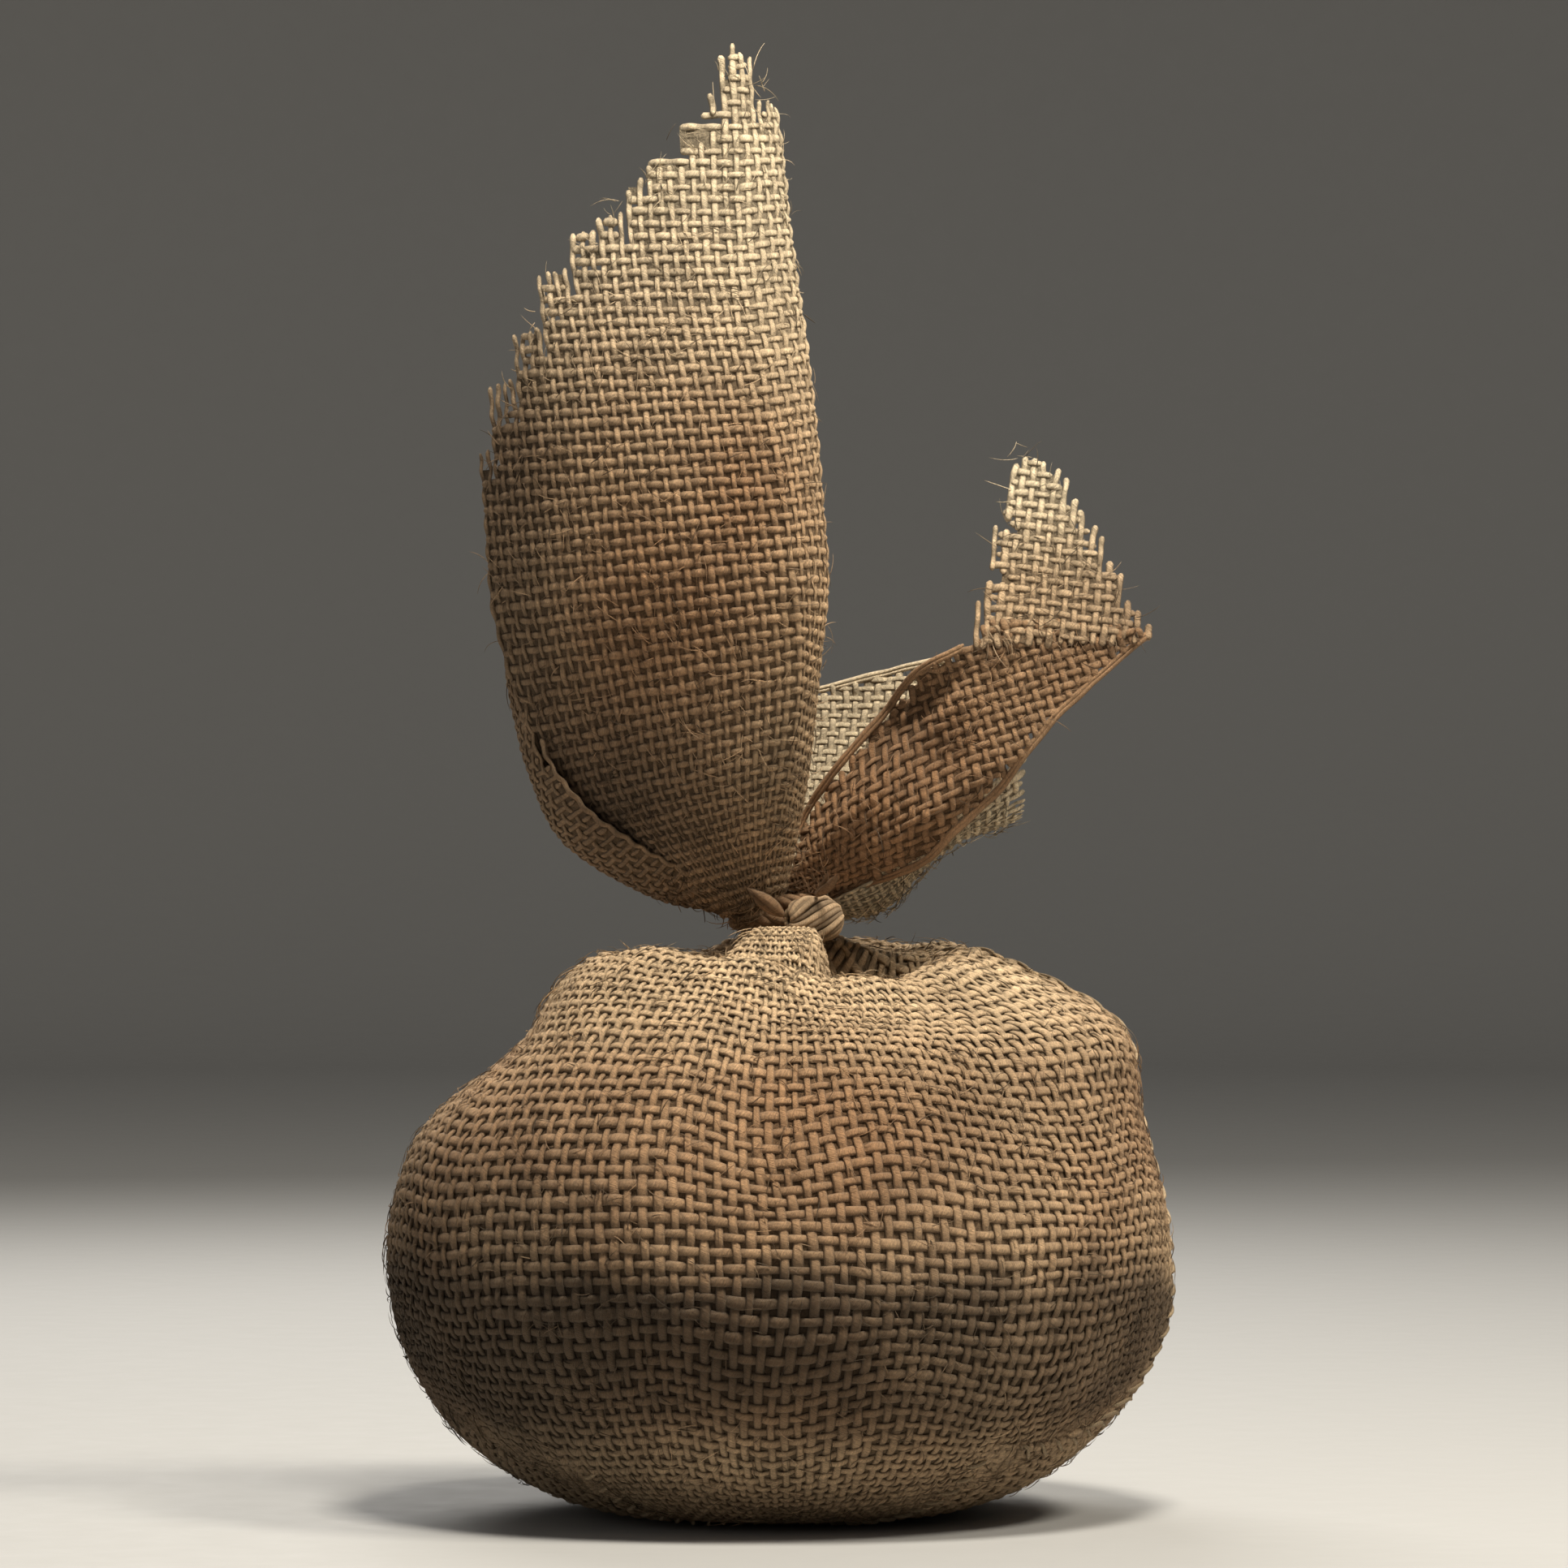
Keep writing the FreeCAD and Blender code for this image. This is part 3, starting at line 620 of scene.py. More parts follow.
def half_section():
    """The middle of the cloth from the base's centre to the tie: (radius, height) points."""
    shoulder_c = (BELLY - SHOULDER, SIDE)
    rise = CROWN - ROLL - SIDE
    top = math.degrees(math.asin(rise / (SHOULDER - ROLL)))
    roll_c = (shoulder_c[0] + (SHOULDER - ROLL) * math.cos(math.radians(top)), CROWN - ROLL)
    crater_z = CRATER_FLOOR + CRATER
    drop = 180 - math.degrees(math.asin((crater_z - roll_c[1]) / (ROLL + CRATER)))
    crater_c = (roll_c[0] + (ROLL + CRATER) * math.cos(math.radians(drop)), crater_z)
    neck_c = (NECK + CRATER, crater_z)
    return np.concatenate([
        np.stack([np.linspace(0, BASE, 40), np.full(40, SKIN)], -1),
        arc_points((BASE, SIDE), SIDE - SKIN, -90, 0)[1:],
        arc_points(shoulder_c, SHOULDER - SKIN, 0, top)[1:],
        arc_points(roll_c, ROLL - SKIN, top, drop)[1:],
        arc_points(crater_c, CRATER + SKIN, drop - 180, -90, 20)[1:],
        arc_points(neck_c, CRATER + SKIN, -90, -180, 20)[1:],
        np.stack([np.full(12, NECK - SKIN), np.linspace(crater_z, TIE + 4, 12)], -1)[1:],
    ])


SECTION = half_section()
SECTION_RUN = run_along(SECTION)
BELLY_RUN = float(np.interp(SIDE, SECTION[:, 1][:100], SECTION_RUN[:100]))
CROWN_RUN = float(SECTION_RUN[np.argmax(SECTION[:, 1][:215])])
TIE_RUN = SECTION_RUN[-1]

WARPS = 160
LOWER_WEFTS = 32
UPPER_WEFTS = int((TIE_RUN - BELLY_RUN) / BODY_PITCH)

# Broad swellings of the shoulders: azimuth, half width in degrees, height and how far out
SWELLINGS = ((180, 42, 232, -24), (0, 48, 238, 22))
SWELLING_RISE = 30.0  # half their height
PLEATS = 11  # gathered by the cord

# Folds of cloth that climb from the crown to the tie: azimuths at the crown and at the tie,
# half width, and the heights of the ridge at even steps on the way in. The first is the broad
# roll below the knot.
FOLDS = (
    ((259, 284), 35.0, (261, 272, 280, 283.5, 277, 283)),
    ((205, 205), 12.0, (268, 266, 265, 267, 274, 284)),
    ((140, 140), 13.0, (263, 263, 265, 269, 276, 284)),
    ((70, 70), 16.0, (271, 273, 275, 277, 280, 284)),
    ((20, 20), 13.0, (269, 269, 270, 273, 278, 284)),
)


def seam_point(azimuth):
    """The bottom seam's point under a belly azimuth, unrolled onto the base plane."""
    start, end = EAR_TURNS
    front = (azimuth - start) % 360
    span = (end - start) % 360
    t = np.where(front <= span, front / span, 1 - (front - span) / (360 - span))
    (ax, ay), (bx, by) = EARS
    x = (1 - t) ** 2 * ax + 2 * t * (1 - t) * SEAM_BOW[0] + t * t * bx
    y = (1 - t) ** 2 * ay + 2 * t * (1 - t) * SEAM_BOW[1] + t * t * by
    return x, y


def drifted(p, q):
    """The azimuth and weft number of a lattice point, once handling has dragged the weave.

    The warps fan out to the right from the front roll, and both families wander.
    """
    azimuth = p * 360 / WARPS
    turn = np.radians(azimuth)
    at = polar(BELLY, turn, q * BODY_PITCH)
    fan = bump(turn_between(azimuth, 312), 0, 32) * smooth(q / UPPER_WEFTS * 1.4)
    azimuth = azimuth + 2.0 * noise(at, 75, 33) - 12 * fan
    free = smooth((UPPER_WEFTS - 8 - q) / 6) * smooth((q + LOWER_WEFTS) / 8)
    sag = 2.4 * bump(turn_between(azimuth, 338), 0, 36) * bump(q, 13, 9)
    return azimuth, q + free * (0.95 * noise(at, 62, 34) - sag)


def body_place(p, q):
    """The body's cloth at warp p (counted round from +X) and weft q (0 at the belly)."""
    azimuth, q = drifted(p, q)
    turn = np.radians(azimuth)
    up = np.clip(q, 0, None) * BODY_PITCH
    flat_x, flat_y = (BELLY_RUN + up) * np.cos(turn), (BELLY_RUN + up) * np.sin(turn)
    down = np.clip(-q, 0, LOWER_WEFTS)
    sx, sy = seam_point(azimuth)
    bx, by = BELLY_RUN * np.cos(turn), BELLY_RUN * np.sin(turn)
    length = np.hypot(bx - sx, by - sy)
    share = down / LOWER_WEFTS
    gone = BODY_PITCH * down + (length - BODY_PITCH * LOWER_WEFTS) * share**3
    part = np.clip(gone / length, 0, 1)
    flat_x = np.where(q < 0, bx + (sx - bx) * part, flat_x)
    flat_y = np.where(q < 0, by + (sy - by) * part, flat_y)
    return settle(np.hypot(flat_x, flat_y), np.arctan2(flat_y, flat_x))


def pleating(turn):
    """The cord's pleats round the neck, from -1 to 1, not quite evenly spaced."""
    return np.cos(PLEATS * turn + 0.8 * np.sin(2 * turn + 1))


def settle(run, turn):
    """The sack's real shape at a distance run along the half section, facing turn."""
    radius = np.interp(run, SECTION_RUN, SECTION[:, 0])
    z = np.interp(run, SECTION_RUN, SECTION[:, 1])
    degrees = np.degrees(turn)
    inward = np.clip((run - CROWN_RUN) / (TIE_RUN - CROWN_RUN), 0, 1)

    def facing(azimuth, spread):
        return bump(turn_between(degrees, azimuth), 0, spread)

    # the flattened left shoulder, the full right one, and the lower crown behind and in front
    for azimuth, spread, height, out in SWELLINGS:
        radius = radius + out * facing(azimuth, spread) * bump(z, height, SWELLING_RISE) * (1 - inward)
    high = smooth((run - BELLY_RUN) / (CROWN_RUN - BELLY_RUN))
    z = z - (9 * facing(158, 52) + 3 * facing(0, 48)) * high * (1 - inward)
    z = z - 15 * facing(300, 40) * smooth((high - 0.6) / 0.4) * (1 - 0.5 * inward)
    at = polar(radius, turn, z)
    lump = 3.4 * noise(at, 85, 31) + 1.5 * noise(at, 34, 32)
    radius = radius + lump * smooth((run - 70) / 80) * (1 - 0.7 * inward)

    # pleats gathered by the cord
    gather = smooth((run - CROWN_RUN + 45) / 70)
    depth = np.minimum(5.0, radius * 0.14)
    z = z + 2.2 * pleating(turn) * gather * (1 - inward)
    radius = radius + depth * pleating(turn) * gather * inward

    # folds that climb straight from the crown to the tie
    crown_radius = np.interp(CROWN_RUN, SECTION_RUN, SECTION[:, 0])
    for (outer, inner), half_width, heights in FOLDS:
        azimuth = outer + (inner - outer) * inward
        ridge_r = crown_radius + (NECK - crown_radius) * inward
        ridge_z = curve_through(np.array(heights)[:, None], inward * (len(heights) - 1))[..., 0]
        offset = np.radians(turn_between(degrees, azimuth))
        lateral = offset * (ridge_r + 12)
        weight = smooth(1.45 - np.abs(lateral) / half_width) * smooth(inward / 0.16)
        round_z = ridge_z - 6.5 * (lateral / half_width) ** 4
        z = z + (np.maximum(round_z, z) - z) * weight
        radius = radius + (ridge_r - radius) * weight * smooth((1 - inward) / 0.25)
    return polar(radius, turn, z)


def body_keep(p, q, family, yarn):
    """Every body yarn is whole, but odd warps stop in the hollow round the neck."""
    limit = np.where((yarn % 2 == 1) & (family == "warp"), UPPER_WEFTS - 9.5, UPPER_WEFTS + 1.0)
    keep = (q <= limit) & (q >= -LOWER_WEFTS)
    return keep, np.zeros_like(q)


BARE_BODY = Cloth(body_place, None, body_colour, BODY_PITCH)  # for what lies on the cloth


def ride(piece, body, node=None):
    """Fixes a piece to a body, in place of a CAD node if one is named."""
    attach(piece, body)
    if node:
        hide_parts(node)


def ride_body(piece):
    """Bakes a body piece's placement into its mesh."""
    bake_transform(piece)


def make_body():
    cloth = Cloth(body_place, body_keep, body_colour, BODY_PITCH, thickness=1.05, seed=3, fill=0.30)
    pieces = []
    families = (
        ("warp", np.arange(WARPS), (-LOWER_WEFTS, UPPER_WEFTS + 1)),
        ("weft", np.arange(-LOWER_WEFTS + 1, UPPER_WEFTS), (0, WARPS)),
    )
    for family, numbers, reach in families:
        for k, group in enumerate(np.array_split(numbers, 4)):
            soup = Soup()
            cloth.yarns(soup, family, group, *reach, per_pitch=3)
            pieces.append(soup.make(f"body_{family}_yarns_{k + 1}", YARN))
    soup = Soup()
    everywhere = (0, WARPS), (-LOWER_WEFTS, UPPER_WEFTS)
    # the sheet under the body's yarns is painted dark as the shade in the weave's holes
    cloth.painted_shade_felt(soup, *everywhere, lambda p, q: np.ones_like(p, bool), sink=0.5)
    pieces.append(soup.make("body_painted_shade_felt", PAINTED_SHADE_FELT))
    for piece in pieces:
        ride_body(piece)
    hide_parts("sack_body", "neck_gather")


# --- loose fibres -----------------------------------------------------------------------


FIBRE_LENGTHS = (4, 15)
FIBRE_LIFT = 1.9
FIBRE_SIZES = (0.14, 0.42)
FIBRE_SHADES = (0.15, 1.5)
BODY_FIBRES = 5200
FLAP_FIBRES = 0.6  # for each crossing of two yarns


def fibre_paths(cloth, p, q, rng):
    """Short curved hairs that leave the cloth at lattice points p, q."""
    here, normal, _, _ = cloth.surface(p, q)
    count = len(p)
    ahead = unit(cloth.place(p + 0.3, q) - here)
    across = np.cross(normal, ahead)
    heading = rng.uniform(0, TAU, count)
    way = ahead * np.cos(heading)[:, None] + across * np.sin(heading)[:, None]
    bend = np.cross(normal, way) * rng.uniform(-0.5, 0.5, (count, 1))
    length = rng.uniform(*FIBRE_LENGTHS, count)
    rise = rng.uniform(0.1, 1.0, count) * FIBRE_LIFT
    t = np.linspace(0, 1, 6)
    run = np.multiply.outer(length, t)[..., None]
    arch = (np.sin(t * math.pi * 0.8)[None] * rise[:, None])[..., None]
    start = here + normal * rng.uniform(0.8, 2.2, (count, 1))
    paths = start[:, None] + way[:, None] * run + bend[:, None] * run * t[:, None] + normal[:, None] * arch
    paths[..., 2] = np.maximum(paths[..., 2], FLOOR_GAP)
    return paths


def make_fuzz(name, cloth, area, count, seed, inside=None):
    """Loose fibres over part of a cloth; area is ((p low, p high), (q low, q high)).

    inside(p, q) says how far points are inside the cloth's edge, if it is torn.
    """
    rng = np.random.default_rng(seed)
    p = rng.uniform(*area[0], count)
    q = rng.uniform(*area[1], count)
    if inside is not None:
        held = inside(p[None], q[None])[0] > 2
        p, q = p[held], q[held]
    paths = fibre_paths(cloth, p, q, rng)
    size = rng.uniform(*FIBRE_SIZES, (len(p), 1)) * np.linspace(1, 0.4, 6)
    tint = cloth.colour(paths, paths, np.zeros(paths.shape[:2]))
    tint = tint * rng.uniform(*FIBRE_SHADES, (len(p), 1, 1))
    soup = Soup()
    add_tubes(soup, paths, (0.31, -0.42, 0.85), size, size, tint, sides=3)
    return soup.make(name, YARN)


# --- torn edges -----------------------------------------------------------------------


def torn_bundles(seed, count, low, high, slit):
    """For a torn edge, in yarns: each yarn's bundle, reach and the length of the slit after it.

    Yarns come away in bundles of 1 to 4 with a slit between bundles.
    """
    rng = np.random.default_rng(seed)
    bundle, reach, gap = [], [], []
    while len(reach) < count:
        size = int(rng.integers(1, 5))
        bundle += [len(reach)] * size
        reach += [rng.uniform(low, high)] * size
        gap += [min(0.35, slit[1])] * (size - 1) + [rng.uniform(*slit)]
    reach = np.array(reach[:count]) + rng.uniform(-0.2, 0.2, count)
    return np.array(bundle[:count]), reach, np.array(gap[:count])


def levelled(ends, bundle, share):
    """Brings the yarn ends of each bundle towards the bundle's middle value."""
    level = ends.copy()
    for one in np.unique(bundle):
        ours = (bundle == one) & np.isfinite(ends)
        if ours.any():
            level[ours] += share * (ends[ours].mean() - ends[ours])
    return level


class TornEdge:
    """Says which yarns exist inside an outline, with frayed ends along it.

    where(p, q) gives the flat position that the outline and the slits are drawn in. Warps and
    wefts are numbered over the ranges given, and yarn ends beyond a range are not torn.
    comb_wefts(a, b) says where the wefts come away in bundles too, from 0 to 1.
    """

    STEP = 0.25

    def __init__(self, where, outline, warps, wefts, slits=(), seed=1,
                 warp_reach=(-0.4, 1.2), weft_reach=(-0.4, 0.7), slit=(0.5, 2.6), comb_wefts=None,
                 level=0.6):
        self.where, self.outline, self.slits = where, outline, slits
        self.seed, self.comb_wefts = seed, comb_wefts
        self.first = {"warp": warps[0] - 2, "weft": wefts[0] - 2}
        span = {"warp": warps[1] - warps[0] + 5, "weft": wefts[1] - wefts[0] + 5}
        fine_q = np.arange(wefts[0], wefts[1] + self.STEP, self.STEP)
        fine_p = np.arange(warps[0], warps[1] + self.STEP, self.STEP)
        yarn_p = np.arange(span["warp"]) + self.first["warp"]
        yarn_q = np.arange(span["weft"]) + self.first["weft"]
        self.low, self.high, self.gap = {}, {}, {}
        for k, family in enumerate(("warp", "weft")):
            if family == "warp":
                p, q = np.meshgrid(yarn_p, fine_q, indexing="ij")
                at, ends = fine_q, warp_reach
            else:
                q, p = np.meshgrid(yarn_q, fine_p, indexing="ij")
                at, ends = fine_p, weft_reach
            held = inside_distance(outline, *where(p, q)) > 0
            some = held.any(axis=1)
            low = np.where(some, at[np.argmax(held, axis=1)], np.inf)
            high = np.where(some, at[len(at) - 1 - np.argmax(held[:, ::-1], axis=1)], -np.inf)
            bundle, reach, self.gap[family] = torn_bundles(seed + k, span[family], *ends, slit)
            low = np.where(low <= at[0], -np.inf, low - reach)
            high = np.where(high >= at[-1], np.inf, high + reach)
            self.low[family] = levelled(low, bundle, level)
            self.high[family] = levelled(high, bundle, level)

    def ends(self, family, yarn):
        """The lowest and highest lattice position of a yarn."""
        k = np.clip(np.rint(yarn).astype(int) - self.first[family], 0, len(self.low[family]) - 1)
        return self.low[family][k], self.high[family][k]

    def between(self, family, at):
        """The range in which cloth is whole between two neighbouring yarns of a family."""
        k = np.clip(np.floor(at).astype(int) - self.first[family], 0, len(self.low[family]) - 2)
        low, high, gap = self.low[family], self.high[family], self.gap[family][k]
        return np.maximum(low[k], low[k + 1]) + gap, np.minimum(high[k], high[k + 1]) - gap

    def slit_free(self, p, q):
        whole = np.ones(np.shape(p), bool)
        for slit in self.slits:
            whole &= inside_distance(slit, *self.where(p, q)) < 0
        return whole

    def keep(self, p, q, family, yarn):
        at, side = (q, p) if family == "warp" else (p, q)
        low, high = self.ends(family, yarn)
        kept = (at >= low) & (at <= high) & self.slit_free(p, q)
        if family == "weft":
            below, above = self.between("warp", p)
            kept &= (q >= below) & (q <= above)
        elif self.comb_wefts is not None:
            below, above = self.between("weft", q)
            combed = self.comb_wefts(*self.where(p, q)) > 0.5
            kept &= ~combed | ((p >= below) & (p <= above))
        loose = np.clip((1.5 - np.minimum(at - low, high - at)) / 1.8, 0, 1)
        return kept, loose

    def keep_cell(self, p, q):
        below, above = self.between("warp", p)
        left, right = self.between("weft", q)
        across = (p > left + 0.5) & (p < right - 0.5)
        return across & (q > below + 0.5) & (q < above - 0.5) & self.slit_free(p, q)

    def inside(self, p, q):
        return inside_distance(self.outline, *self.where(p, q))


# --- the tall front flap --------------------------------------------------------------

# Rows from the tie to the tip: the crease (x, y, z), and the left and right edges (x, z)
FRONT_CREASE = (
    (-8, -18, 286), (-2, -38, 320), (5, -60, 360), (9, -71, 390), (10, -78, 418),
    (7, -84, 450), (2, -86, 488), (-7, -82, 540), (-18, -68, 600), (-22, -40, 712),
)
FRONT_LEFT = (
    (-14, 284), (-60, 303), (-101, 333), (-116, 363), (-127, 397),
    (-137, 437), (-141, 480), (-145, 537), (-152, 600), (-166, 716),
)
FRONT_RIGHT = (
    (1, 290), (7, 320), (13, 352), (17, 385), (20, 414),
    (23, 450), (20, 492), (15, 545), (7, 604), (-5, 712),
)
FRONT_TEAR = (
    (-40, 270), (30, 270), (40, 400), (40, 560), (14, 606), (4, 650), (0, 674), (-9, 692),
    (-22, 711), (-27, 703), (-33, 690), (-40, 674), (-52, 668), (-60, 652), (-75, 641),
    (-84, 622), (-95, 616), (-104, 600), (-116, 587), (-124, 566), (-129, 554), (-137, 530),
    (-141, 510), (-150, 490), (-170, 400), (-150, 290),
)
FRONT_SLITS = (
    ((-30, 720), (-27, 700), (-25.5, 682), (-23.5, 720)),
    ((-60, 670), (-46, 663), (-33, 660), (-46, 658), (-60, 662)),
)
FRONT_LEFT_YARNS = 30
FRONT_RIGHT_YARNS = 6
LEFT_TURN = math.radians(53)  # how far the left side turns away from the front
RIGHT_TURN = (math.radians(20), math.radians(70))


def run_to_row(points, pitch):
    """A function from yarn number to row number along a control curve."""
    fine = np.linspace(0, len(points) - 1, 200)
    run = run_along(curve_through(points, fine))
    return (lambda q: np.interp(q * pitch, run, fine)), run[-1] / pitch


FRONT_ROW, FRONT_ROWS = run_to_row(FRONT_CREASE, FRONT_PITCH)


def front_place(p, q):
    """The front flap's cloth: p counts warps from the crease, q wefts from the tie."""
    row = FRONT_ROW(q)
    crease = curve_through(FRONT_CREASE, row)
    left = curve_through(FRONT_LEFT, row)
    right = curve_through(FRONT_RIGHT, row)
    a = np.clip(-p / FRONT_LEFT_YARNS, 0, 1.15) * LEFT_TURN
    b = RIGHT_TURN[0] + (RIGHT_TURN[1] - RIGHT_TURN[0]) * np.clip(p / FRONT_RIGHT_YARNS, 0, 1.3)
    chord = np.sin(RIGHT_TURN[1]) - np.sin(RIGHT_TURN[0])
    on_left = p < 0
    share = np.where(on_left, np.sin(a) / np.sin(LEFT_TURN), (np.sin(b) - np.sin(RIGHT_TURN[0])) / chord)
    fall = np.where(
        on_left, (1 - np.cos(a)) / np.sin(LEFT_TURN), (np.cos(RIGHT_TURN[0]) - np.cos(b)) / chord
    )
    edge = np.where(on_left[..., None], left, right)
    across = edge - crease[..., [0, 2]]
    width = np.linalg.norm(across, axis=-1)
    x = crease[..., 0] + across[..., 0] * share
    z = crease[..., 2] + across[..., 1] * share
    y = crease[..., 1] + width * fall
    place = np.stack([x, y, z], -1)
    return sway_y(place, 2.2 * noise(place * (1, 0.3, 0.6), 46, 51) * smooth(q / 14))


def front_colour(points, normal, yarn):
    x, z = points[..., 0], points[..., 2]
    base = cloth_colour(points, normal, yarn)
    base = mixed(base, CREAM, 0.35 * smooth((x + 40) / 50))
    base = mixed(base, BLEACHED, 0.85 * smooth((z - 490) / 160))
    base = mixed(base, RUST, 0.65 * bump(x, -72, 34) * bump(z, 425, 60))
    base = mixed(base, RUST, 0.5 * bump(x, -14, 26) * bump(z, 490, 46))
    base = mixed(base, GREY, 0.95 * bump(x, -85, 52) * bump(z, 335, 62))
    return mixed(base, GREY, 0.65 * smooth((-x - 85) / 45) * smooth((600 - z) / 90))


def flat_xz(place):
    def where(p, q):
        at = place(p, q)
        return at[..., 0], at[..., 2]

    return where


def edge_steps(points, per=12):
    """Curve values that read an edge of several points closely."""
    return np.linspace(0, len(points) - 1, (len(points) - 1) * per + 1)


BINDING_SIZE = 1.2
BINDING_GAP = 1.6  # between the middles of an edge's two yarns


def add_binding(soup, cloth, path, band):
    """Two yarns that lie together along an edge and close it."""
    tangent = unit(np.gradient(path, axis=0))
    out = unit(np.cross(tangent, np.broadcast_to((0.0, 1.0, 0.0), path.shape)))
    wander = 0.5 * noise(path, 9, cloth.seed + 20)[:, None]
    both = np.stack([path + out * wander, path - out * (BINDING_GAP - wander)])
    size = BINDING_SIZE * (1 + 0.25 * noise(both, 11, cloth.seed + 21))
    normal = np.cross(tangent, out)
    tint = cloth.colour(both, normal, np.zeros(both.shape[:2]))
    add_tubes(soup, both, normal, size, size, tint, band=band)


def flap_piece(name, cloth, tear, warps, wefts, binding=()):
    """Weaves one flap and returns its felt, painted dark as shade."""
    soup = Soup()
    cloth.yarns(soup, "warp", np.arange(warps[0], warps[1] + 1), *wefts, band=(0.0, 0.48))
    cloth.yarns(soup, "weft", np.arange(wefts[0] + 1, wefts[1] + 1), *warps, band=(0.48, 0.96))
    for k, path in enumerate(binding):
        add_binding(soup, cloth, path, (0.96 + 0.02 * k, 0.98 + 0.02 * k))
    yarns = soup.make(name + "_yarns", YARN)
    soup = Soup()
    cloth.painted_shade_felt(soup, warps, wefts, tear.keep_cell)
    painted_shade_felt = soup.make(name + "_painted_shade_felt", PAINTED_SHADE_FELT)
    count = int((warps[1] - warps[0]) * (wefts[1] - wefts[0]) * FLAP_FIBRES)
    fuzz = make_fuzz(name + "_loose_fibres", cloth, (warps, wefts), count, tear.seed + 7, inside=tear.inside)
    for piece in (yarns, painted_shade_felt, fuzz):
        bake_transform(piece)
    return painted_shade_felt


def make_front_flap():
    warps, wefts = (-FRONT_LEFT_YARNS, FRONT_RIGHT_YARNS), (0, int(FRONT_ROWS))
    tear = TornEdge(
        flat_xz(front_place), FRONT_TEAR, warps, wefts, FRONT_SLITS, seed=61,
        warp_reach=(-0.6, 1.0), weft_reach=(-0.7, 0.7), slit=(0.9, 2.6), level=0.85,
        comb_wefts=lambda x, z: smooth((z - 628) / 10) * smooth((696 - z) / 10) * (x < -28),
    )
    cloth = Cloth(front_place, tear.keep, front_colour, FRONT_PITCH, seed=62)
    painted_shade_felt = flap_piece(
        "front_flap", cloth, tear, warps, wefts
    )
    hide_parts("front_flap")


# --- flaps with three edges -----------------------------------------------------------


class EdgedFlap:
    """A flap drawn by its front edge, middle and back edge, each a row of (x, y, z) points."""

    REACH = 1.35  # how far the outline goes to each side, in half widths

    def __init__(self, front, middle, back, half_yarns, pitch=FLAP_PITCH):
        self.edges = (front, middle, back)
        self.half, self.pitch = half_yarns, pitch
        self.row, self.rows = run_to_row(middle, pitch)

    def place(self, p, q):
        a = np.clip(p / self.half, -1.2, 1.2)[..., None]
        front, middle, back = (curve_through(edge, self.row(q)) for edge in self.edges)
        at = front * a * (a - 1) / 2 + middle * (1 - a * a) + back * a * (a + 1) / 2
        ripple = 1.8 * noise(at, 38, 52) * smooth(q / 8)
        return at + ripple[..., None] * np.array((0.5, 0.6, 0.4))

    def flat(self, p, q):
        return p * self.pitch, q * self.pitch

    def outline(self, tops):
        """A flat outline: open at the root, torn along tops, given as (side, height) shares."""
        width, height = self.half * self.pitch, self.rows * self.pitch
        torn = [(a * width, share * height) for a, share in tops]
        return [(-self.REACH * width, -40), *torn, (self.REACH * width, -40)]


def edged_flap(name, shape, tops, colour, seed, start, end, bound=None, fill=0.29, **fray):
    """Makes a flap; bound is the part of its outline that has a closed edge, given like tops."""
    warps, wefts = (-shape.half, shape.half), (0, int(shape.rows))
    tear = TornEdge(shape.flat, shape.outline(tops), warps, wefts, seed=seed, **fray)
    cloth = Cloth(shape.place, tear.keep, colour, shape.pitch, seed=seed + 3, fill=fill)
    binding = []
    if bound is not None:
        at = curve_through(np.array(bound) * (shape.half, shape.rows), edge_steps(bound))
        binding.append(shape.place(at[:, 0], at[:, 1]))
    painted_shade_felt = flap_piece(name, cloth, tear, warps, wefts, binding=binding)
    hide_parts(name)


def left_colour(points, normal, yarn):
    return mixed(cloth_colour(points, normal, yarn), GREY, 0.35)


def pale_colour(points, normal, yarn):
    return mixed(cloth_colour(points, normal, yarn), BLEACHED, 0.9)


def make_left_flap():
    shape = EdgedFlap(
        front=((-11, -16, 294), (-48, -27, 312), (-86, -31, 335), (-110, -24, 363),
               (-122, -12, 398), (-130, 2, 420)),
        middle=((-20, 3, 290), (-63, 5, 299), (-104, 8, 324), (-120, 12, 356),
                (-128, 15, 386), (-134, 16, 420)),
        back=((-14, 18, 296), (-50, 38, 318), (-82, 48, 345), (-98, 48, 372),
              (-108, 40, 398), (-116, 30, 424)),
        half_yarns=7,
    )
    tops = ((-1.35, 0.62), (-1.0, 0.72), (-0.6, 0.9), (-0.2, 1.0), (0.3, 0.93), (0.7, 0.8), (1.35, 0.62))
    edged_flap("left_flap", shape, tops, left_colour, 81, (-30, 4, 300), (-75, 8, 325))


def make_rear_flap():
    shape = EdgedFlap(
        front=((14, 14, 296), (54, 24, 318), (84, 34, 348), (102, 44, 386), (114, 52, 430)),
        middle=((2, 20, 297), (6, 42, 322), (10, 58, 352), (12, 70, 384), (12, 79, 424)),
        back=((-12, 16, 296), (-43, 38, 322), (-64, 54, 352), (-76, 63, 386), (-82, 68, 424)),
        half_yarns=18,
        pitch=REAR_PITCH,
    )
    tops = ((-1.35, 0.93), (-0.75, 0.90), (-0.45, 0.87), (0.0, 0.80), (0.5, 0.74), (0.85, 0.70), (1.35, 0.5))
    edged_flap(
        "rear_flap", shape, tops, pale_colour, 91, (2, 22, 304), (6, 45, 345), bound=tops[1:-1],
        fill=0.33, warp_reach=(0.1, 0.25), slit=(-0.2, 0.0), level=0.0,
    )


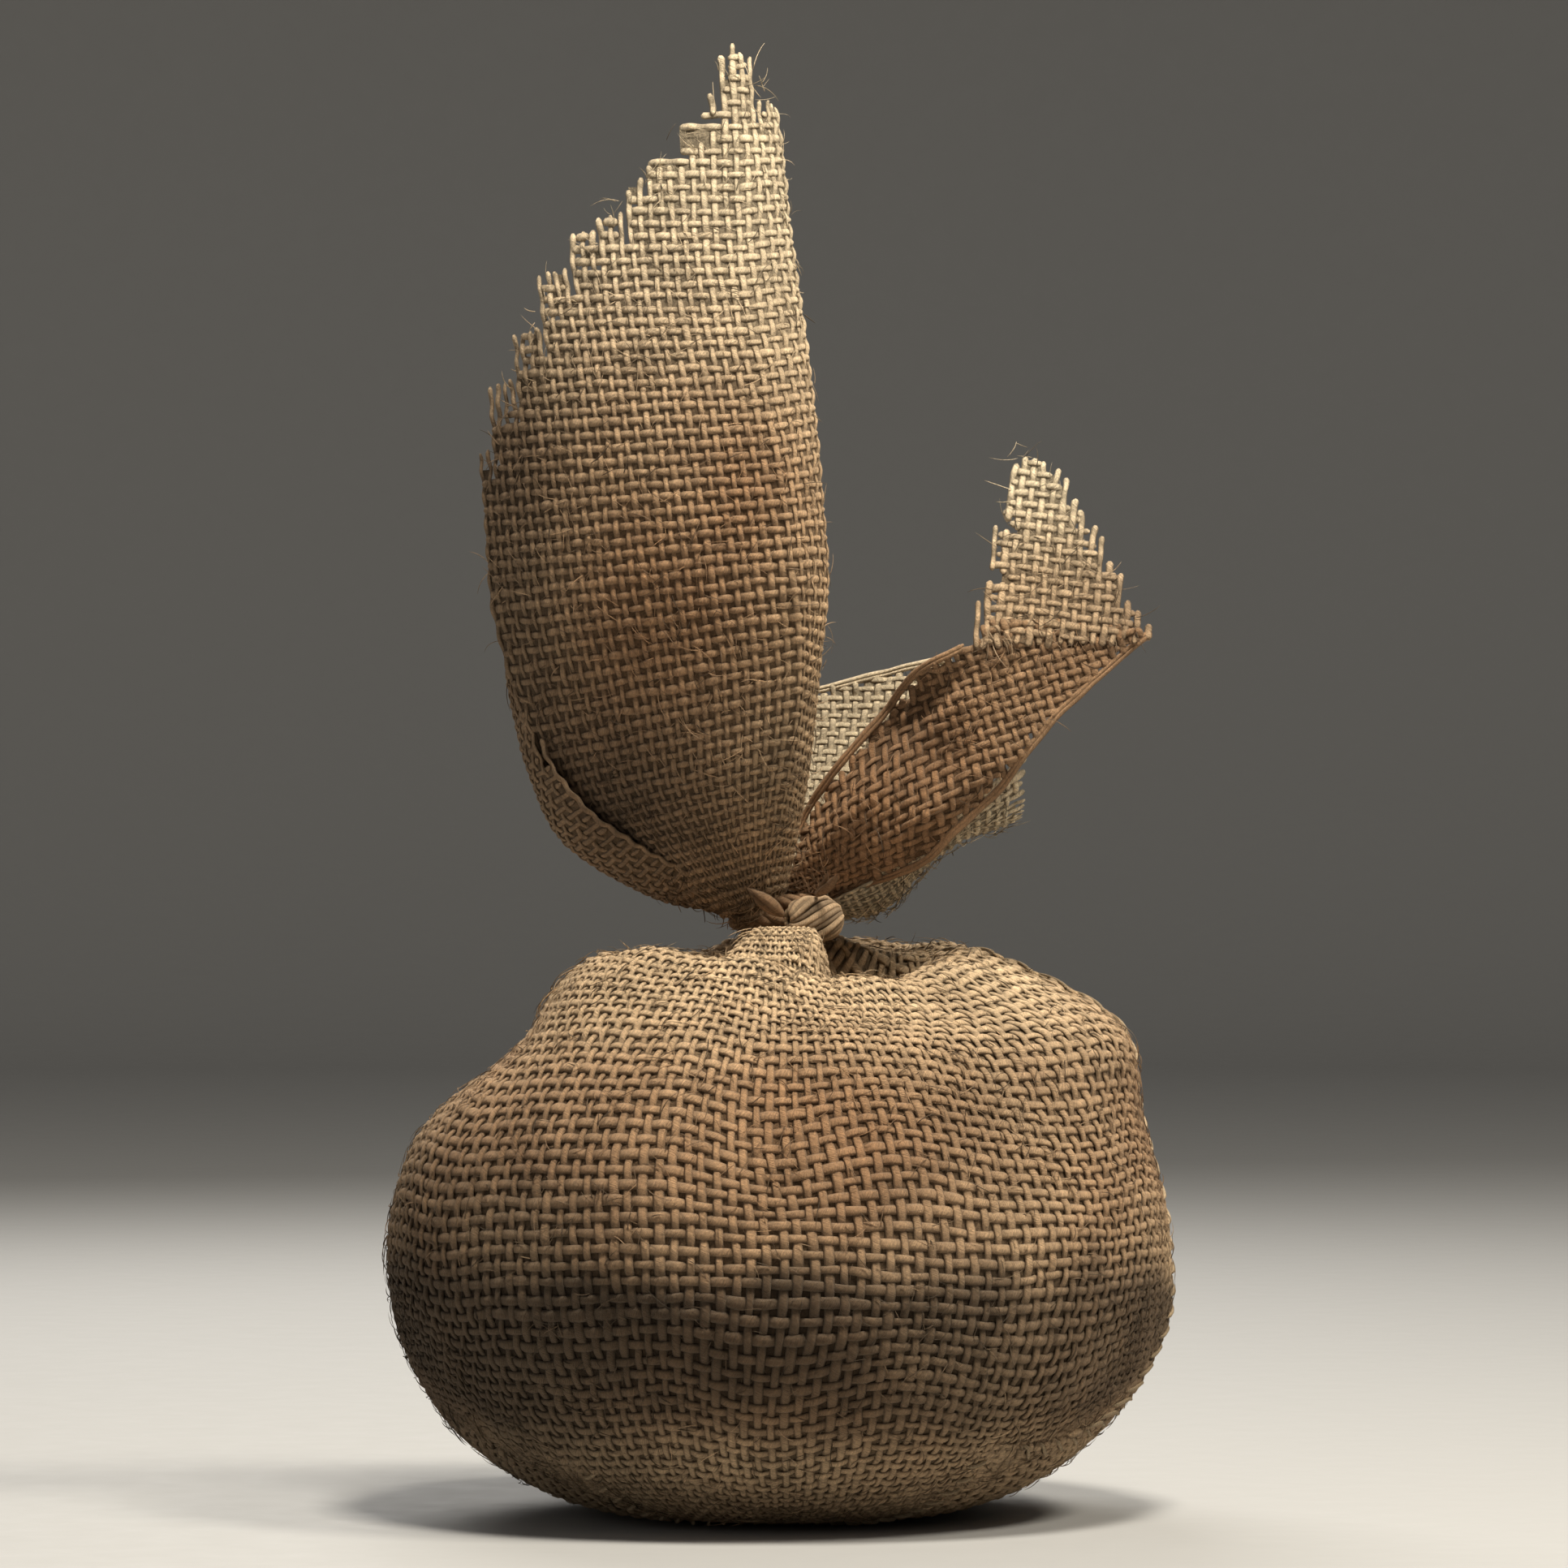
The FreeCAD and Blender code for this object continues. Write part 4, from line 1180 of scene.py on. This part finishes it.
def make_rear_right_flap():
    shape = EdgedFlap(
        front=((16, -14, 293), (42, -17, 304), (68, -15, 321), (88, -12, 338),
               (104, -9, 352), (119, -6, 366)),
        middle=((20, 2, 288), (49, 4, 291), (73, 6, 315), (90, 8, 327), (103, 10, 331), (117, 12, 337)),
        back=((16, 16, 295), (44, 34, 308), (68, 45, 330), (84, 47, 350), (97, 42, 370), (108, 32, 392)),
        half_yarns=11,
        pitch=REAR_PITCH,
    )
    tops = ((-1.35, 0.95), (-1.0, 0.96), (-0.6, 0.93), (-0.1, 0.96), (0.4, 0.93), (0.8, 0.8), (1.35, 0.7))
    edged_flap(
        "rear_right_flap", shape, tops, pale_colour, 101, (30, 4, 300), (75, 8, 325),
        warp_reach=(-0.6, 2.2), slit=(0.8, 3.5),
    )


# --- the right flap and its turned-up corner --------------------------------------------

RIGHT_EDGE = (
    (4, 290), (20, 293), (38, 303), (68, 316), (84, 331), (104, 350), (116, 366), (137, 391),
    (177, 426), (150, 431), (99, 431), (89, 418), (67, 406), (51, 386), (31, 363), (12, 335), (2, 305),
)
CORNER_EDGE = (
    (90, 415), (179, 420), (176, 428), (167, 446), (160, 458), (153, 473), (146, 486), (141, 497),
    (129, 509), (120, 515), (111, 523), (109, 508), (106, 492), (104, 480), (101, 470), (103, 457), (99, 440),
)
CORNER_SLITS = (
    ((96, 480), (108, 476), (118, 470), (108, 479), (98, 486)),
    ((94, 492), (106, 490), (113, 488), (106, 493), (96, 497)),
    ((94, 452), (105, 450), (114, 450), (105, 453), (96, 455)),
    ((111, 530), (114, 516), (120, 508), (116, 518), (114, 528)),
)


class TiltedLattice:
    """A flat lattice in the X-Z plane turned by angle, drawn together near the tie."""

    def __init__(self, origin, angle, pinch=None):
        self.origin, self.pinch = origin, pinch
        a = math.radians(angle)
        self.along = (math.cos(a), math.sin(a))

    def flat(self, p, q):
        c, s = self.along
        x = self.origin[0] + FLAP_PITCH * (p * c - q * s)
        z = self.origin[1] + FLAP_PITCH * (p * s + q * c)
        if self.pinch is None:
            return x, z
        nx, nz, reach = self.pinch
        away = np.hypot(x - nx, z - nz)
        gather = 0.30 + 0.70 * smooth(away / reach)
        return nx + (x - nx) * gather, nz + (z - nz) * gather


TIE_XZ = (12, 294)  # what the right flap spreads from
LOWER_EDGE = ((38, 303), (104, 350))  # two points on its lower right edge
ROLL_EDGE = ((12, 335), (90, 418))  # and on the upper left edge that rolls back
RIGHT_LATTICE = TiltedLattice((14, 298), 17, pinch=(*TIE_XZ, 120))
CORNER_LATTICE = TiltedLattice((99, 427), -6)


def right_place(p, q):
    return right_surface(*RIGHT_LATTICE.flat(p, q))


def left_of(line, x, z):
    """How far points are to the left of a line in the X-Z plane; negative to its right."""
    (ax, az), (bx, bz) = line
    return ((bx - ax) * (z - az) - (bz - az) * (x - ax)) / math.hypot(bx - ax, bz - az)


def right_surface(x, z):
    """The right flap: its two long edges turn back, and its middle is a shallow hollow."""
    out = np.hypot(x - TIE_XZ[0], z - TIE_XZ[1])
    y = -16 - 30 * smooth(out / 90)
    y = y + 9 * bump(x, 66, 24) * bump(z, 368, 24)
    y = y + 22 * smooth((left_of(ROLL_EDGE, x, z) + 15) / 19) * smooth((416 - z) / 30)
    y = y + 10 * smooth((12 - left_of(LOWER_EDGE, x, z)) / 16) * smooth((400 - z) / 60)
    place = np.stack([x, y, z], -1)
    return sway_y(place, 1.8 * noise(place, 36, 53) * smooth(out / 60))


def corner_place(p, q):
    """The corner leans back past the crease and curls a little towards its tip."""
    x, z = CORNER_LATTICE.flat(p, q)
    over = np.clip(z - 427, -20, None)
    y = -46 + 0.16 * over + 0.0006 * over**2 + 0.0025 * (x - 130) ** 2 * smooth(over / 60)
    place = np.stack([x, y, z], -1)
    return sway_y(place, 1.5 * noise(place, 30, 54) * smooth(over / 30))


def right_colour(points, normal, yarn):
    x, z = points[..., 0], points[..., 2]
    base = cloth_colour(points, normal, yarn)
    base = mixed(base, RUST, 0.4 + 0.35 * bump(x, 50, 60) * bump(z, 345, 60))
    # painted shade in the flap's shallow hollow
    hollow_shade = bump(x, 63, 26) * bump(z, 368, 26)
    base = mixed(base, RUST * 0.45, 0.7 * hollow_shade)
    return mixed(base, TAN, 0.4 * smooth((x - 100) / 50)) * 0.9


def corner_colour(points, normal, yarn):
    base = cloth_colour(points, normal, yarn)
    # painted light: paler above the crease, where the corner turns up to the light
    return mixed(base, BLEACHED, 0.15 + 0.8 * smooth((points[..., 2] - 440) / 60))


def make_right_flap():
    warps, wefts = (-15, 49), (-20, 37)
    tear = TornEdge(
        RIGHT_LATTICE.flat, RIGHT_EDGE, warps, wefts, seed=111,
        warp_reach=(0.15, 0.25), weft_reach=(0.15, 0.25), slit=(-0.2, 0.0), level=0.0,
    )
    cloth = Cloth(right_place, tear.keep, right_colour, FLAP_PITCH, seed=112, fill=0.33)
    edges = []
    for outline in (RIGHT_EDGE[1:9], RIGHT_EDGE[11:]):
        x, z = curve_through(outline, edge_steps(outline)).T
        edges.append(right_surface(x, z))
    painted_shade_felt = flap_piece(
        "right_flap", cloth, tear, warps, wefts,
        binding=edges,
    )
    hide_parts("right_flap")


def make_corner():
    warps, wefts = (-5, 20), (-3, 25)
    tear = TornEdge(
        CORNER_LATTICE.flat, CORNER_EDGE, warps, wefts, CORNER_SLITS, seed=121,
        warp_reach=(-0.4, 0.35), weft_reach=(-0.4, 0.35), slit=(0.3, 1.0), level=0.3,
    )
    cloth = Cloth(corner_place, tear.keep, corner_colour, FLAP_PITCH, seed=122, fill=0.31)
    painted_shade_felt = flap_piece(
        "right_corner", cloth, tear, warps, wefts,
    )
    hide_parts("right_flap_corner")


# --- filling, frill collar and seams ------------------------------------------------------


def filling_material(name):
    """Packed dark straw, seen only through the weave."""
    n = Nodes(name)
    place = n.add("ShaderNodeTexCoord").outputs["Object"]
    stalks = n.noise(n.scaled(place, (1.0, 1.0, 0.2)), 420.0, detail=4.0)
    clumps = n.noise(place, 60.0)
    shade = n.math("MULTIPLY", n.range(stalks, 0.3, 1.1), n.range(clumps, 0.6, 1.2))
    colour = n.times(n.attribute("tint").outputs["Color"], shade)
    return n.finish(colour, n.range(stalks, 0.8, 0.98), stalks, 0.002, sheen=0.0)


FILLING_CENTRE = np.array((0, 0, 118.0))
FILLING_SHARE = 0.955  # the filling's size, as a share of the body's
FILLING_LUMPS = 0.006


def make_filling():
    """A lumpy mass that follows the cloth from inside."""
    around, up = 120, 70
    q = np.linspace(-LOWER_WEFTS, UPPER_WEFTS - 9, up + 1)
    p, q = np.meshgrid(np.linspace(0, WARPS, around + 1), q, indexing="ij")
    skin = body_place(p, q) - FILLING_CENTRE
    share = FILLING_SHARE + FILLING_LUMPS * noise(skin, 18, 131)
    inner = FILLING_CENTRE + skin * share[..., None]
    soup = Soup()
    add_sheet(soup, inner, np.broadcast_to(UMBER, inner.shape), np.ones((around, up), bool))
    core = soup.make("filling_core", filling_material("packed_filling"))
    ride(core, "sack", "filling")


COLLAR_WARPS = 44
COLLAR_WEFTS = 8
COLLAR_PITCH = 3.6


def collar_place(p, q):
    """A short fluted skirt of cloth that opens out of the tie."""
    turn = p * TAU / COLLAR_WARPS
    run = q * COLLAR_PITCH
    open_out = smooth((run - 11) / 24)
    radius = NECK - SKIN + 1.5 + 17 * open_out + (0.8 + 4.2 * open_out) * pleating(turn)
    return polar(radius, turn, TIE - 2 + run * (0.95 - 0.25 * open_out))


def make_collar():
    _, tops, _ = torn_bundles(141, COLLAR_WARPS, 5.2, 7.8, (0, 0))

    def keep(p, q, family, yarn):
        which = yarn if family == "warp" else p
        top = tops[np.floor(which).astype(int) % COLLAR_WARPS]
        top = top if family == "warp" else top - 1
        return (q <= top) & (q >= 0), np.clip(q - top + 1.2, 0, 1)

    cloth = Cloth(collar_place, keep, left_colour, COLLAR_PITCH, seed=142, fill=0.36)
    soup = Soup()
    cloth.yarns(soup, "warp", np.arange(COLLAR_WARPS), 0, COLLAR_WEFTS, band=(0, 0.5))
    cloth.yarns(soup, "weft", np.arange(1, COLLAR_WEFTS), 0, COLLAR_WARPS, band=(0.5, 1))
    yarns = soup.make("frill_collar_yarns", YARN)
    soup = Soup()
    # the sheet under the collar's yarns is painted dark as the shade in the weave's holes
    cloth.painted_shade_felt(soup, (0, COLLAR_WARPS), (0, COLLAR_WEFTS), lambda p, q: q < 5.4)
    ride(yarns, "neck")
    ride(soup.make("frill_collar_painted_shade_felt", PAINTED_SHADE_FELT), "neck", "frill_collar")


SEAM_WARP = EAR_TURNS[1] / 360 * WARPS  # the side seam runs up from the bottom seam's end
HEM_HALF = 1.6  # the doubled cloth, in yarns each side of the seam
HEM_LIFT = 1.9  # how far it stands off the body's cloth
SIDE_STITCH_STEP = 1.9  # between stitches, in wefts
SIDE_STITCH_RADIUS = 0.95
BOTTOM_STITCHES = 26
BOTTOM_STITCH_RADIUS = 1.1
BOTTOM_STITCH_HALF = (2.2, 5)  # its half length along and across the seam


def hem_place(p, q):
    """The doubled cloth of the side seam, on top of the body's."""
    here, normal, _, _ = BARE_BODY.surface(p, q)
    share = np.clip(np.abs(p - SEAM_WARP) / HEM_HALF, 0, 1)
    return here + normal * (HEM_LIFT * np.sqrt(1 - 0.8 * share**2))[..., None]


def stitches(name, paths, radius):
    """A row of stitches as one piece: a tube along each path (m, 3)."""
    soup = Soup()
    for number, path in enumerate(paths):
        start = number / len(paths)
        add_strand(
            soup, path, (0.13, 0.21, 0.97), radius, radius, CREAM * 0.8, band=(start, start + 0.004)
        )
    return soup.make(name, CORD)


def make_side_seam():
    """The doubled cloth up the sack's side, and the slanted stitches that hold it."""
    low, high = 4 - LOWER_WEFTS, UPPER_WEFTS - 12

    def keep(p, q, family, yarn):
        return (np.abs(p - SEAM_WARP) <= HEM_HALF + 0.3) & (q > low - 1), np.zeros_like(q)

    cloth = Cloth(hem_place, keep, body_colour, BODY_PITCH, seed=151, fill=0.34)
    soup = Soup()
    cloth.yarns(soup, "warp", SEAM_WARP + np.array((-1.5, -0.5, 0.5, 1.5)), low, high, 3, band=(0, 0.5))
    edge = (SEAM_WARP - HEM_HALF - 0.2, SEAM_WARP + HEM_HALF + 0.2)
    cloth.yarns(soup, "weft", np.arange(low, high), *edge, 6, band=(0.5, 1))
    ride_body(soup.make("side_seam_hem", YARN))
    t = np.linspace(-1, 1, 9)
    lift = 2.9 * np.sqrt(np.clip(1 - (t * 0.93) ** 2, 0, 1)) + 0.8
    paths = []
    for row in np.arange(low + 0.5, high - 1, SIDE_STITCH_STEP):
        here, normal, _, _ = BARE_BODY.surface(SEAM_WARP + t * (HEM_HALF + 0.55), row + t * 0.45)
        paths.append(here + normal * lift[:, None])
    side = stitches("side_seam_stitches", paths, SIDE_STITCH_RADIUS)
    ride_body(side)
    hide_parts("side_seam_thread")


def make_bottom_seam():
    """The stitches of the sewn bottom, which cross its seam from ear to ear."""
    start, end = EAR_TURNS
    along, across = BOTTOM_STITCH_HALF
    t = np.linspace(-1, 1, 7)
    paths = []
    for azimuth in np.linspace(start + 8, end + 360 - 8, BOTTOM_STITCHES):
        sx, sy = seam_point(azimuth)
        ahead = np.array(seam_point(azimuth + 2)) - (sx, sy)
        ahead = ahead / np.hypot(*ahead)
        flat_x = sx + t * (along * ahead[0] - across * ahead[1])
        flat_y = sy + t * (along * ahead[1] + across * ahead[0])
        at = settle(np.hypot(flat_x, flat_y), np.arctan2(flat_y, flat_x))
        at = at + unit(at - (0, 0, 150)) * (2.1 * np.sqrt(1 - (0.9 * t) ** 2))[:, None]
        at[:, 2] = np.maximum(at[:, 2], 1.3)
        paths.append(at)
    bottom = stitches("bottom_seam_stitches", paths, BOTTOM_STITCH_RADIUS)
    ride(bottom, "sack", "bottom_seam_thread")


# --- cord, knot and tails -----------------------------------------------------------------


def frames_along(path):
    """Side and up unit vectors along a path (m, 3), turned as little as possible."""
    tangent = unit(np.gradient(path, axis=0))
    side = np.empty_like(path)
    start = np.array((0.0, 0.0, 1.0)) if abs(tangent[0][2]) < 0.9 else np.array((1.0, 0.0, 0.0))
    side[0] = unit(np.cross(tangent[0], start))
    for k in range(1, len(path)):
        side[k] = unit(side[k - 1] - tangent[k] * np.dot(side[k - 1], tangent[k]))
    return side, np.cross(tangent, side)


CORD_RADIUS = 3.75
CORD_STRANDS = 3
STRAND_RADIUS = CORD_RADIUS * 0.56
LAY_LENGTH = 20.0  # along the cord, for one turn of a strand
KNOT_STRANDS = 17
TAIL_STRANDS = 3
KNOT_LOW, KNOT_HIGH = cad_mm("tie_knot")
KNOT_AT = (KNOT_LOW + KNOT_HIGH) / 2
KNOT_TURN = math.atan2(KNOT_AT[1], KNOT_AT[0])
KNOT_SIZE = (15.5, 8.4, 10.2)  # half sizes along the neck's tangent, outward and up


def make_cord():
    """Two turns of twisted cord, drawn tight over the gathered cloth."""
    low = COIL_LOW[2] + CORD_RADIUS
    high = COIL_HIGH[2] - CORD_RADIUS
    t = np.linspace(-0.03, 1.03, 260)
    path = polar(COIL_HIGH[0] - CORD_RADIUS, KNOT_TURN + t * 2 * TAU, low + (high - low) * t)
    side, up = frames_along(path)
    soup = Soup()
    for k in range(CORD_STRANDS):
        turn = run_along(path) / LAY_LENGTH * TAU + k * TAU / CORD_STRANDS
        offset = side * np.cos(turn)[:, None] + up * np.sin(turn)[:, None]
        add_strand(
            soup, path + offset * (CORD_RADIUS - STRAND_RADIUS), offset, STRAND_RADIUS, STRAND_RADIUS,
            TAN * 0.92 * (0.94 + 0.06 * k), sides=12, band=(k * 0.02, (k + 1) * 0.02),
        )
    ride(soup.make("tie_cord_coil", CORD), "neck", "tie_cord_wraps")


def knot_point(along, outward, up):
    """A point from the knot's own axes: along the neck's tangent, outward and up."""
    tangent = np.array((-math.sin(KNOT_TURN), math.cos(KNOT_TURN), 0))
    radial = np.array((math.cos(KNOT_TURN), math.sin(KNOT_TURN), 0))
    return (
        KNOT_AT + np.multiply.outer(along, tangent) + np.multiply.outer(outward, radial)
        + np.multiply.outer(up, np.array((0.0, 0.0, 1.0)))
    )


def make_knot():
    """The knot: thick strands wound over one another like a turban."""
    soup = Soup()
    rng = np.random.default_rng(161)
    t = np.linspace(0.04, 0.96, 30)
    for k in range(KNOT_STRANDS):
        turn = k * TAU / KNOT_STRANDS + 2.5 * (t - 0.5) + rng.uniform(-0.08, 0.08)
        along = -np.cos(t * math.pi) * (KNOT_SIZE[0] - 1.5)
        swell = np.sin(t * math.pi) ** 0.7
        layer = 1 + 0.13 * (k % 2) + 0.06 * np.sin(4 * t + 2.1 * k)
        outward = swell * (KNOT_SIZE[1] - 1.2) * np.cos(turn) * layer
        up = swell * (KNOT_SIZE[2] - 1.2) * np.sin(turn) * layer
        path = knot_point(along, outward, up)
        size = 0.75 + 0.75 * np.sin(t * math.pi) ** 0.6
        # every other strand is painted darker, as painted shade in the grooves between strands
        shade = (0.5, 1.05)[k % 2] * rng.uniform(0.8, 1.15)
        add_strand(
            soup, path, unit(path - KNOT_AT), size * 1.1, size, (TAN + CREAM) / 2 * shade, sides=12,
            band=(k / KNOT_STRANDS, (k + 0.95) / KNOT_STRANDS),
        )
    ride(soup.make("tie_knot_strands", CORD), "neck", "tie_knot")


def make_tail(node, body, piece, seed):
    """A cord end whose strands have opened into pointed, leaf-like tips."""
    low, high = cad_mm(node)
    root = pivot(body)
    tip = np.where(np.abs(low - root) > np.abs(high - root), low, high)
    rng = np.random.default_rng(seed)
    soup = Soup()
    t = np.linspace(0, 1, 24)
    for k in range(TAIL_STRANDS):
        spread = rng.uniform(-3.2, 3.2, 3) * (1, 0.4, 0.6)
        curl = rng.uniform(-2.5, 2.5, 3)
        path = root + np.outer(t, tip - root + spread) + np.outer(np.sin(t * math.pi), curl)
        size = 0.35 + 2.3 * np.sin(np.clip(t * 0.95 + 0.1, 0, 1) * math.pi) ** 0.9 * (1 - 0.25 * k)
        facing = unit(np.array((0.3, -1, 0.2 * k - 0.2)))
        add_strand(
            soup, path, facing, size, size * 0.55, TAN * rng.uniform(0.62, 0.9), sides=8,
            band=(k / 4, (k + 1) / 4),
        )
    ride(soup.make(piece, CORD), body, node)


def make_body_fuzz():
    area = ((0, WARPS), (8 - LOWER_WEFTS, UPPER_WEFTS - 8))
    ride_body(make_fuzz("body_loose_fibres", BARE_BODY, area, BODY_FIBRES, 171))


# --- floor, light and camera ----------------------------------------------------------


FLOOR_COLOUR = (0.36, 0.356, 0.348, 1)
WORLD_COLOUR = (1.0, 0.98, 0.95, 1)
WORLD_STRENGTH = 0.16


def make_stage():
    """A wide pale floor that curves up into a low wall all round."""
    flat, bend, top, around = 5.5, 1.6, 3.2, 96
    rise = np.radians(np.linspace(0, 90, 13))
    radii = np.concatenate([[0.5], flat + bend * np.sin(rise), [flat + bend]])
    heights = np.concatenate([[0.0], bend - bend * np.cos(rise), [top]])
    turn = np.arange(around) * TAU / around
    points = np.concatenate([polar(r, turn, np.full(around, z)) for r, z in zip(radii, heights)])
    faces = [tuple(range(around))]
    for k, j in product(range(len(radii) - 1), range(around)):
        ahead = (j + 1) % around
        corners = ((k, j), (k + 1, j), (k + 1, ahead), (k, ahead))
        faces.append(tuple(around * row + column for row, column in corners))
    mesh = bpy.data.meshes.new("floor")
    mesh.from_pydata(points.tolist(), [], faces)
    mesh.polygons.foreach_set("use_smooth", np.ones(len(faces), bool))
    n = Nodes("floor_paint")
    place = n.add("ShaderNodeTexCoord").outputs["Object"]
    grain = n.noise(place, 40.0)
    shader = n.add("ShaderNodeBsdfPrincipled", Roughness=n.range(grain, 0.75, 0.9))
    shader.inputs["Base Color"].default_value = FLOOR_COLOUR
    out = n.tree.nodes.new("ShaderNodeOutputMaterial")
    n.tree.links.new(shader.outputs[0], out.inputs["Surface"])
    mesh.materials.append(n.material)
    placed("floor", mesh)


def lamp(name, place, target, size, power, colour):
    light = bpy.data.lights.new(name, "AREA")
    light.size = size
    light.energy = power
    light.color = colour
    point_at(placed(name, light), place, target)


def point_at(thing, place, target):
    thing.location = place
    thing.rotation_euler = (Vector(target) - Vector(place)).to_track_quat("-Z", "Y").to_euler()


def make_lights():
    """A warm key from the upper right front, a weak fill, and a lamp above and behind."""
    middle = (0.0, 0.0, 0.3)
    lamp("key", (1.5, -0.95, 2.3), middle, 0.6, 58, (1.0, 0.93, 0.80))
    lamp("high", (0.28, -0.85, 2.6), middle, 0.5, 85, (1.0, 0.94, 0.83))
    lamp("fill", (-2.2, -2.0, 0.9), middle, 1.8, 5, (1.0, 0.97, 0.93))
    lamp("back", (-0.5, 1.8, 1.7), middle, 1.4, 40, (1.0, 0.97, 0.92))
    world = bpy.data.worlds.new("studio")
    world.use_nodes = True
    background = world.node_tree.nodes["Background"]
    background.inputs["Color"].default_value = WORLD_COLOUR
    background.inputs["Strength"].default_value = WORLD_STRENGTH
    bpy.context.scene.world = world
    bpy.context.scene.view_settings.view_transform = "Standard"


def make_camera():
    """Level with the sack's middle, far enough away for little perspective."""
    distance, view_height, middle, aside = 4.0, 0.7577, 0.3525, 0.0024
    camera = bpy.data.cameras.new("camera")
    camera.angle = 2 * math.atan(view_height / 2 / distance)
    thing = placed("camera", camera)
    point_at(thing, (aside, -distance, middle + 0.02), (aside, 0.0, middle))
    bpy.context.scene.camera = thing


make_stage()
make_lights()
make_camera()
make_filling()
make_body()
make_side_seam()
make_bottom_seam()
make_body_fuzz()
make_collar()
make_cord()
make_knot()
make_tail("cord_tail_left", "tail_left", "cord_end_left", 162)
make_tail("cord_tail_right", "tail_right", "cord_end_right", 163)
make_front_flap()
make_left_flap()
make_rear_flap()
make_rear_right_flap()
make_right_flap()
make_corner()
